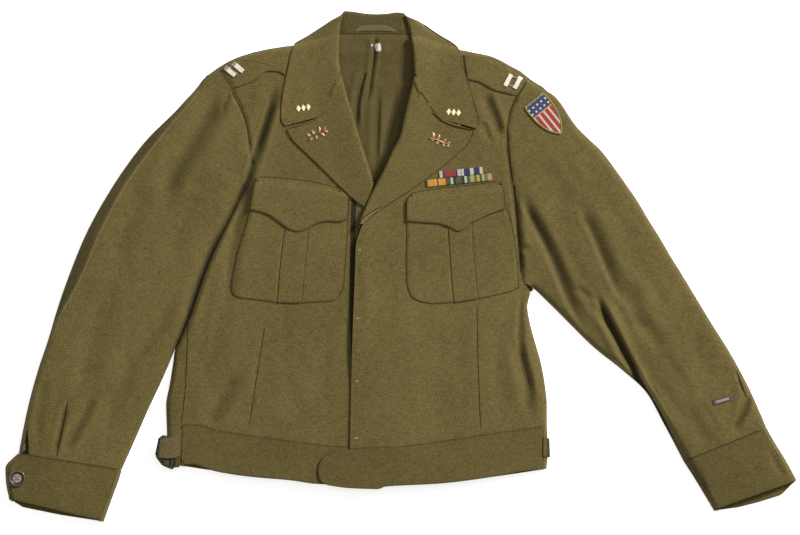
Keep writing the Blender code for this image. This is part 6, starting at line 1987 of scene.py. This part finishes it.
# Sewing
def inset_line(points, side, s):
    """The line on a grid at s mm from one of its borders: low or high (rows), left or right (columns)."""
    p = points if side in ("left", "right") else np.swapaxes(points, 0, 1)
    if side in ("right", "high"):
        p = p[:, ::-1]
    return np.array([at_distances(row, s) for row in p])


def trimmed(line, start, stop):
    """The line without `start` mm at its beginning and `stop` mm at its end."""
    return at_distances(line, np.arange(start, length(line) - stop, 0.7))


def stitch_parts(line, pitch=3.2, long=2.3, radius=0.26, lift=0.06):
    """Stitches along a line, each a short thread whose ends go down into the cloth."""
    parts = []
    at = cumulative(line)
    for k in range(int(at[-1] / pitch)):
        want = (k + 0.5) * pitch + np.array([-0.5, -0.22, 0.22, 0.5]) * long
        p = np.stack([np.interp(want, at, line[:, j]) for j in range(3)], axis=1)
        p[:, 2] += lift + np.array([-0.22, 0.06, 0.06, -0.22])
        parts.append(tube(p, radius * np.array([0.35, 1, 1, 0.35]), 5))
    return parts


# Stitch lines of the sewn pieces: name, piece, (border, mm from it), mm left out at both ends
STITCHED = [
    ("cuff", "cuff_{}_top", (("low", 1.6), ("high", 4.5)), 2),
    ("pocket", "pocket_{}", (("left", 1.7), ("right", 1.7), ("high", 1.7)), 3),
    ("flap", "pocket_flap_{}", (("low", 1.6), ("low", 5.4), ("high", 1.6)), 2),
    ("loop", "shoulder_loop_{}", (("left", 1.6), ("right", 1.6), ("low", 1.6)), 2),
]


def make_stitching():
    runs = {"stitch_waistband": [
        ("waistband_right", "low", 1.8, 8, 2), ("waistband_right", "high", 1.8, 8, 2),
        ("waistband_left", "low", 1.8, 6, 2), ("waistband_left", "high", 1.8, 6, 2),
        ("waistband_left", "right", 1.8, 2, 2),
    ]}
    for name, piece, lines, out in STITCHED:
        for side in ("right", "left"):
            runs[f"stitch_{name}_{side}"] = [(piece.format(side), edge, s, out, out) for edge, s in lines]
    runs["stitch_front"] = [("front_left", "right", 7.0, 30, 70)]
    for name, lines in runs.items():
        parts = []
        for piece, edge, s, start, stop in lines:
            parts += stitch_parts(trimmed(inset_line(GRIDS[piece], edge, s), start, stop))
        solid(name, parts, THREAD_WOOL, "wool")


FRONT_TACKS = [(359.6, 250, -4), (357.9, 318, 1), (356.9, 381, 6), (356.4, 438, 11)]
FLAP_TACKS = [(257.9, 181.6, 86, 0), (500.4, 184.4, 80, 1), (340.2, 191.6, 84, 0), (411.6, 196.4, 92, 1)]


def tack(x, y, angle, count, across, ground, lift, thick):
    """A bar tack: threads side by side over plan distances across it, each with a bow."""
    parts = []
    for j in range(count):
        v = (j - (count - 1) / 2) * 0.42
        xy = turned_xy(x, y, angle, [(u, v) for u in across])
        parts.append(tube(with_height(xy, ground(xy) + lift), thick, 5))
    return parts


def make_tacks():
    parts = []
    for x, y, angle in FRONT_TACKS:
        lift = np.array([-0.1, 0.28, 0.28, -0.1])
        parts += tack(x, y, angle, 6, (-2.1, -0.7, 0.7, 2.1), upper_front, lift, 0.26)
    solid("thread_front_tacks", parts, THREAD_LIGHT, "wool")
    parts = []
    for x, y, angle, upper in FLAP_TACKS:
        lift = POCKET_CLEAR + CLOTH_THIN + 1.1 + np.array([-0.3, 0.3, 0.3, -0.3])
        parts += tack(x, y, angle, 5, (-2.8, -0.9, 0.9, 2.8), upper_front if upper else height, lift, 0.25)
    solid("thread_flap_tacks", parts, THREAD_DARK, "wool")


# Sleeve plackets: the slit's line, its half widths in mm
PLACKETS = [
    ("right", [(27.4, 430), (27.0, 438), (26.6, 446), (26.2, 454)], (0.6, 2.4, 3.7, 4.3)),
    ("left", [(736.6, 371), (739.4, 380), (742.6, 389), (746.4, 397.5)], (0.3, 1.1, 1.2, 0.3)),
]


def make_plackets():
    """The slit of each sleeve above its cuff: a dark opening between two bound lips."""
    count = 25
    taper = np.clip(np.minimum(np.arange(count), np.arange(count)[::-1]) / 3, 0.3, 1)
    for side, spine, wide in PLACKETS:
        line = spread(curve(spine), count)
        half = smooth(wide, np.linspace(0, 3, count))
        gap = slab(banded(line, half, 5), height, 0.02, 0.1, 0.02)
        solid(f"placket_gap_{side}", [gap], GAP_MAT, "lining")
        lips = np.moveaxis(banded(line, half + 0.35, 2), 1, 0)
        parts = [tube(with_height(xy, height(xy) + 0.1), 0.6 * taper, 8, flat=0.8) for xy in lips]
        solid(f"placket_lips_{side}", parts, WOOL_PLAIN, "wool")


def top_of(names):
    """The height of the upper faces of these pieces over plan points."""
    trees = []
    for name in names.split():
        mesh = bpy.data.objects["cloth_" + name].data
        co = [(v.co / MM)[:] for v in mesh.vertices]
        trees.append(BVHTree.FromPolygons(co, corner_vertices(mesh).reshape(-1, 4).tolist()))
    down = Vector((0, 0, -1))

    def top(xy):
        out = []
        for x, y in xy.reshape(-1, 2):
            hits = [tree.ray_cast(Vector((x, y, 90)), down)[0] for tree in trees]
            out.append(max([h.z for h in hits if h is not None], default=0.0))
        out = np.array(out)
        hit = np.flatnonzero(out > 1)
        return np.interp(np.arange(len(out)), hit, out[hit]).reshape(xy.shape[:-1])
    return top


def row_mean(z):
    """The mean over seven rows."""
    pad = np.concatenate([z[:1]] * 3 + [z] + [z[-1:]] * 3)
    return sum(pad[k:k + len(z)] for k in range(7)) / 7


def strip_grid(points, wide, cols=3, pitch=0.9, taper=4):
    """Plan points of a strip along a line, drawn in at both ends."""
    line = curve(points)
    line = spread(line, max(8, int(length(line) / pitch)))
    s = np.linspace(0, length(line), len(line))
    return banded(line, wide / 2 * np.clip(np.minimum(s / 4, s[::-1] / taper), 0.25, 1), cols)


def layout_points(line, every):
    return np.stack(layout(line[:, :2]), axis=1)[::every]


def side_points(piece, every):
    """Layout points of a sheet's outer side."""
    return layout_points(inset_line(GRIDS[piece], "right", 0.0), every)


def ditches():
    """Strips of painted shade along seams pressed in, edges and openings: name, pieces below, lines with
    their widths in mm.
    """
    return [
        ("side_right", "front_right back", [
            ([(188.2, 314), (187.4, 345), (186, 380), (184, 404), (181.4, 425)], 1.2)]),
        ("dart_right", "front_right", [([(265, 327), (260, 358), (254.6, 392), (249.4, 426)], 1.0)]),
        ("dart_left", "front_left", [([(477, 305), (477.6, 345), (479, 390), (480.8, 429)], 1.0)]),
        ("armhole_right", "front_right sleeve_right_top back sleeve_right_under", [
            ([(232, 92), (238, 103), (244, 116), (247.6, 129), (250, 146)], 1.7)]),
        ("armhole_left", "front_left sleeve_left_top back sleeve_left_under", [
            ([(514, 184), (516, 205), (517.5, 222), (519.4, 250), (521, 274)], 2.3),
            ([(527.6, 81.4), (519.4, 93.6), (512.4, 105.6), (508.8, 119), (507.4, 132), (508, 142),
              (509.6, 160), (512.6, 182)], 1.7)]),
        ("pleats_right", "sleeve_right_top cuff_right_top", [([(68.2, 401), (62.6, 429), (57, 457)], 1.7)]),
        ("notch_right", "front_right", [([(286.4, 125.4), (296, 123.4), (308, 120.6), (316, 118.4)], 2.6)]),
        ("notch_left", "front_left", [([(446, 120.4), (455, 123.2), (466, 126.4), (474.4, 128.8)], 2.8)]),
        ("lapel_left", "front_left lapel_left collar_left", [(side_points("lapel_left", 6), 1.5)]),
        ("collar_left", "front_left sleeve_left_top shoulder_loop_left collar_left", [
            (side_points("collar_left", 6), 1.5)]),
        ("lining", "back_lining", [([(376, 38), (375.4, 50), (372.4, 74), (368.6, 100)], 1.3),
                                   ([(367, 72), (361.4, 88), (358, 106), (357, 126)], 1.6)]),
        ("pocket_right", "front_right pocket_right pocket_flap_right", [
            (side_points("pocket_right", 6), 1.3), (side_points("pocket_flap_right", 4), 1.6)]),
        ("pocket_left", "front_left pocket_left pocket_flap_left", [
            (side_points("pocket_left", 6), 1.1), (side_points("pocket_flap_left", 4), 1.2)]),
    ]


# Strips of painted highlight along ridges: name, pieces below, line, width in mm
CRESTS = [
    ("back_seam_right", "sleeve_right_top sleeve_right_under", inset_points(SLEEVE_RIGHT[1:15], 1), 2.0),
    ("loop_right_edge", "shoulder_loop_right", [(238, 58.6), (258, 61), (272, 65), (284, 70.4)], 1.1),
]


# Seams pressed flat: name, pieces below, line, width in mm
PRESSED = [
    ("gorge_right", "lapel_right collar_right",
     [(339.8, 77), (336.4, 85.6), (332.2, 93.6), (329, 99.8), (326, 105.6), (322.4, 113)], 9.0),
    ("gorge_left", "lapel_left collar_left",
     [(414.4, 77.6), (418, 87), (421.9, 94.3), (426.6, 101.4), (430.6, 107.4)], 9.0),
    ("band_right", "waistband_right waistband_back",
     [(183.2, 425.4), (182.9, 440), (182.6, 456), (182.6, 464)], 3.4),
]
# The turned edge of the upper front where it runs into its lapel, with a strip of painted highlight on it,
# and the line and opening beside it, with strips of painted shade
FRONT_TURN = [
    (355.8, 240), (356.6, 233), (359.2, 226.6), (363.4, 220.6), (369, 215.6), (376, 211.4), (384.4, 207),
]
BESIDE_TURN = [(357.6, 226.4), (361.8, 220), (367.6, 214.6), (374.8, 210.2), (383.2, 205.9)]
FRONT_OPENING = [
    (354.8, 195.6), (354, 204), (353.4, 214), (353, 228), (352.8, 246), (352.6, 266), (352.3, 300),
    (352, 330), (351.4, 356),
]


def seam_strip(name, grids, ground, mat, wall, rise=-0.06, bevel=0.02, dome=0.0):
    solid("seam_" + name, [slab(grid, ground, rise, wall, bevel, dome) for grid in grids], mat, "wool")


def bridge(top):
    """Heights of a smooth bridge of cloth over a join, from the faces at both sides of it."""
    def ground(grid):
        z = top(grid)
        z[:, [0, -1]] = row_mean(z[:, [0, -1]])
        u = np.linspace(0, 1, grid.shape[1])
        flat = z[:, :1] * (1 - u) + z[:, -1:] * u
        peak = (z - flat).max(axis=1, keepdims=True)
        peak = np.max([np.roll(peak, k, axis=0) for k in range(-3, 4)], axis=0)
        return flat + row_mean(peak) * np.sin(math.pi * u)
    return ground


def make_seams():
    for name, below, lines in ditches():
        # strips of painted shade
        seam_strip("ditch_" + name, [strip_grid(p, w) for p, w in lines], top_of(below), WOOL_DITCH_SHADE, 0.24)
    for name, below, points, wide in CRESTS:
        # strips of painted highlight
        seam_strip("crest_" + name, [strip_grid(points, wide, 5)], top_of(below), WOOL_CREST_HIGHLIGHT, 0.16, dome=0.18)
    for side in ("right", "left"):
        for name, piece, other, cut, wide in (("cuff", "cuff_{}_top", "sleeve_{}_top", 2, 1.5),
                                              ("flap", "pocket_flap_{}", "front_{}", 1, 1.2)):
            piece, other = piece.format(side), other.format(side)
            line = layout_points(trimmed(inset_line(GRIDS[piece], "low", 0.0), cut, cut), 8)
            top = top_of(f"{other} {piece}")
            # painted shade under the lower edges of the cuffs and flaps
            seam_strip(f"ditch_{name}_{side}", [strip_grid(line, wide)], top, WOOL_DITCH_SHADE, 0.13)
    # painted shade in the opening beside the upper front's free edge
    opening = strip_grid(FRONT_OPENING, 7.4, 5, taper=70)
    seam_strip("ditch_front", [opening], top_of("front_right"), WOOL_DITCH_SHADE, 0.13)
    for name, below, points, wide in PRESSED:
        mat = WOOL_BAND_PLAIN if name.startswith("band") else WOOL_PLAIN
        seam_strip("pressed_" + name, [strip_grid(points, wide, 9)], bridge(top_of(below)), mat, 0.16, -0.1)
    top = top_of("front_right front_left lapel_left")
    # painted highlight along the upper front's turned edge
    seam_strip("crest_front_left", [strip_grid(FRONT_TURN, 1.7, 5)], top, WOOL_CREST_HIGHLIGHT, 0.4, -0.1, 0.05, 0.3)
    # painted shade beside the upper front's turned edge
    seam_strip("ditch_front_left", [strip_grid(BESIDE_TURN, 1.3)], top, WOOL_DITCH_SHADE, 0.14)


# Stage, camera and light
FLOOR_HALF = 9.0        # metres
FLOOR_POINTS = 25
FLOOR_DROP = 0.0004


def make_stage():
    mesh = bpy.data.meshes.new("surface")
    at = np.linspace(-FLOOR_HALF, FLOOR_HALF, FLOOR_POINTS)
    x, y = np.meshgrid(at, at)
    index = np.arange(FLOOR_POINTS ** 2).reshape(FLOOR_POINTS, FLOOR_POINTS)
    points = np.stack([x.ravel(), y.ravel(), 0 * x.ravel()], axis=1)
    mesh.from_pydata(points.tolist(), [], quads(index).tolist())
    mesh.materials.append(floor_material())
    floor = bpy.data.objects.new("surface", mesh)
    bpy.context.scene.collection.objects.link(floor)
    floor.location.z = -FLOOR_DROP


CAMERA_AT = (-0.00131, -0.00172, 7.0)
VIEW_WIDE = 1.136       # width in metres of what the picture shows at the cloth's middle height
VIEW_Z = 0.008
SENSOR = 36.0


def make_camera():
    data = bpy.data.cameras.new("camera")
    data.sensor_fit = "HORIZONTAL"
    data.sensor_width = SENSOR
    data.lens = SENSOR * (CAMERA_AT[2] - VIEW_Z) / VIEW_WIDE
    data.clip_end = 60
    cam = bpy.data.objects.new("camera", data)
    cam.location = CAMERA_AT
    bpy.context.scene.collection.objects.link(cam)
    bpy.context.scene.camera = cam


def area(name, stands_at, size, power, shown=True):
    """A round soft light that shines at the garment's middle."""
    data = bpy.data.lights.new(name, "AREA")
    data.shape = "DISK"
    data.size = size
    data.energy = power
    obj = bpy.data.objects.new(name, data)
    obj.location = stands_at
    obj.visible_camera = shown
    obj.rotation_euler = (Vector() - Vector(stands_at)).to_track_quat("-Z", "Y").to_euler()
    bpy.context.scene.collection.objects.link(obj)


def make_light():
    world = bpy.data.worlds.new("studio")
    world.use_nodes = True
    back = world.node_tree.nodes["Background"]
    back.inputs["Color"].default_value = (1, 1, 1, 1)
    back.inputs["Strength"].default_value = 0.2
    bpy.context.scene.world = world
    area("key", (9.8, 8.0, 9.2), 4.2, 3300.0)
    area("overhead", (0.0, 0.0, 6.0), 5.0, 90.0, False)
    bpy.context.scene.view_settings.view_transform = "Standard"


def main():
    make_body()
    make_sleeve("right", SLEEVE_RIGHT, CUFF_RIGHT_TOP, CUFF_RIGHT_UNDER, CUFF_RIGHT_SAG)
    make_sleeve("left", SLEEVE_LEFT, CUFF_LEFT_TOP, CUFF_LEFT_UNDER, CUFF_LEFT_SAG)
    make_waistband()
    make_underarms()
    make_lapels()
    make_neck()
    make_lining()
    make_pockets()
    make_loops()
    make_rank_bars()
    make_pins()
    make_ribbons()
    make_patch()
    make_service_bar()
    make_button()
    make_buckle()
    make_side_straps()
    make_neck_trim()
    make_stitching()
    make_tacks()
    make_plackets()
    make_seams()
    make_stage()
    make_camera()
    make_light()


main()
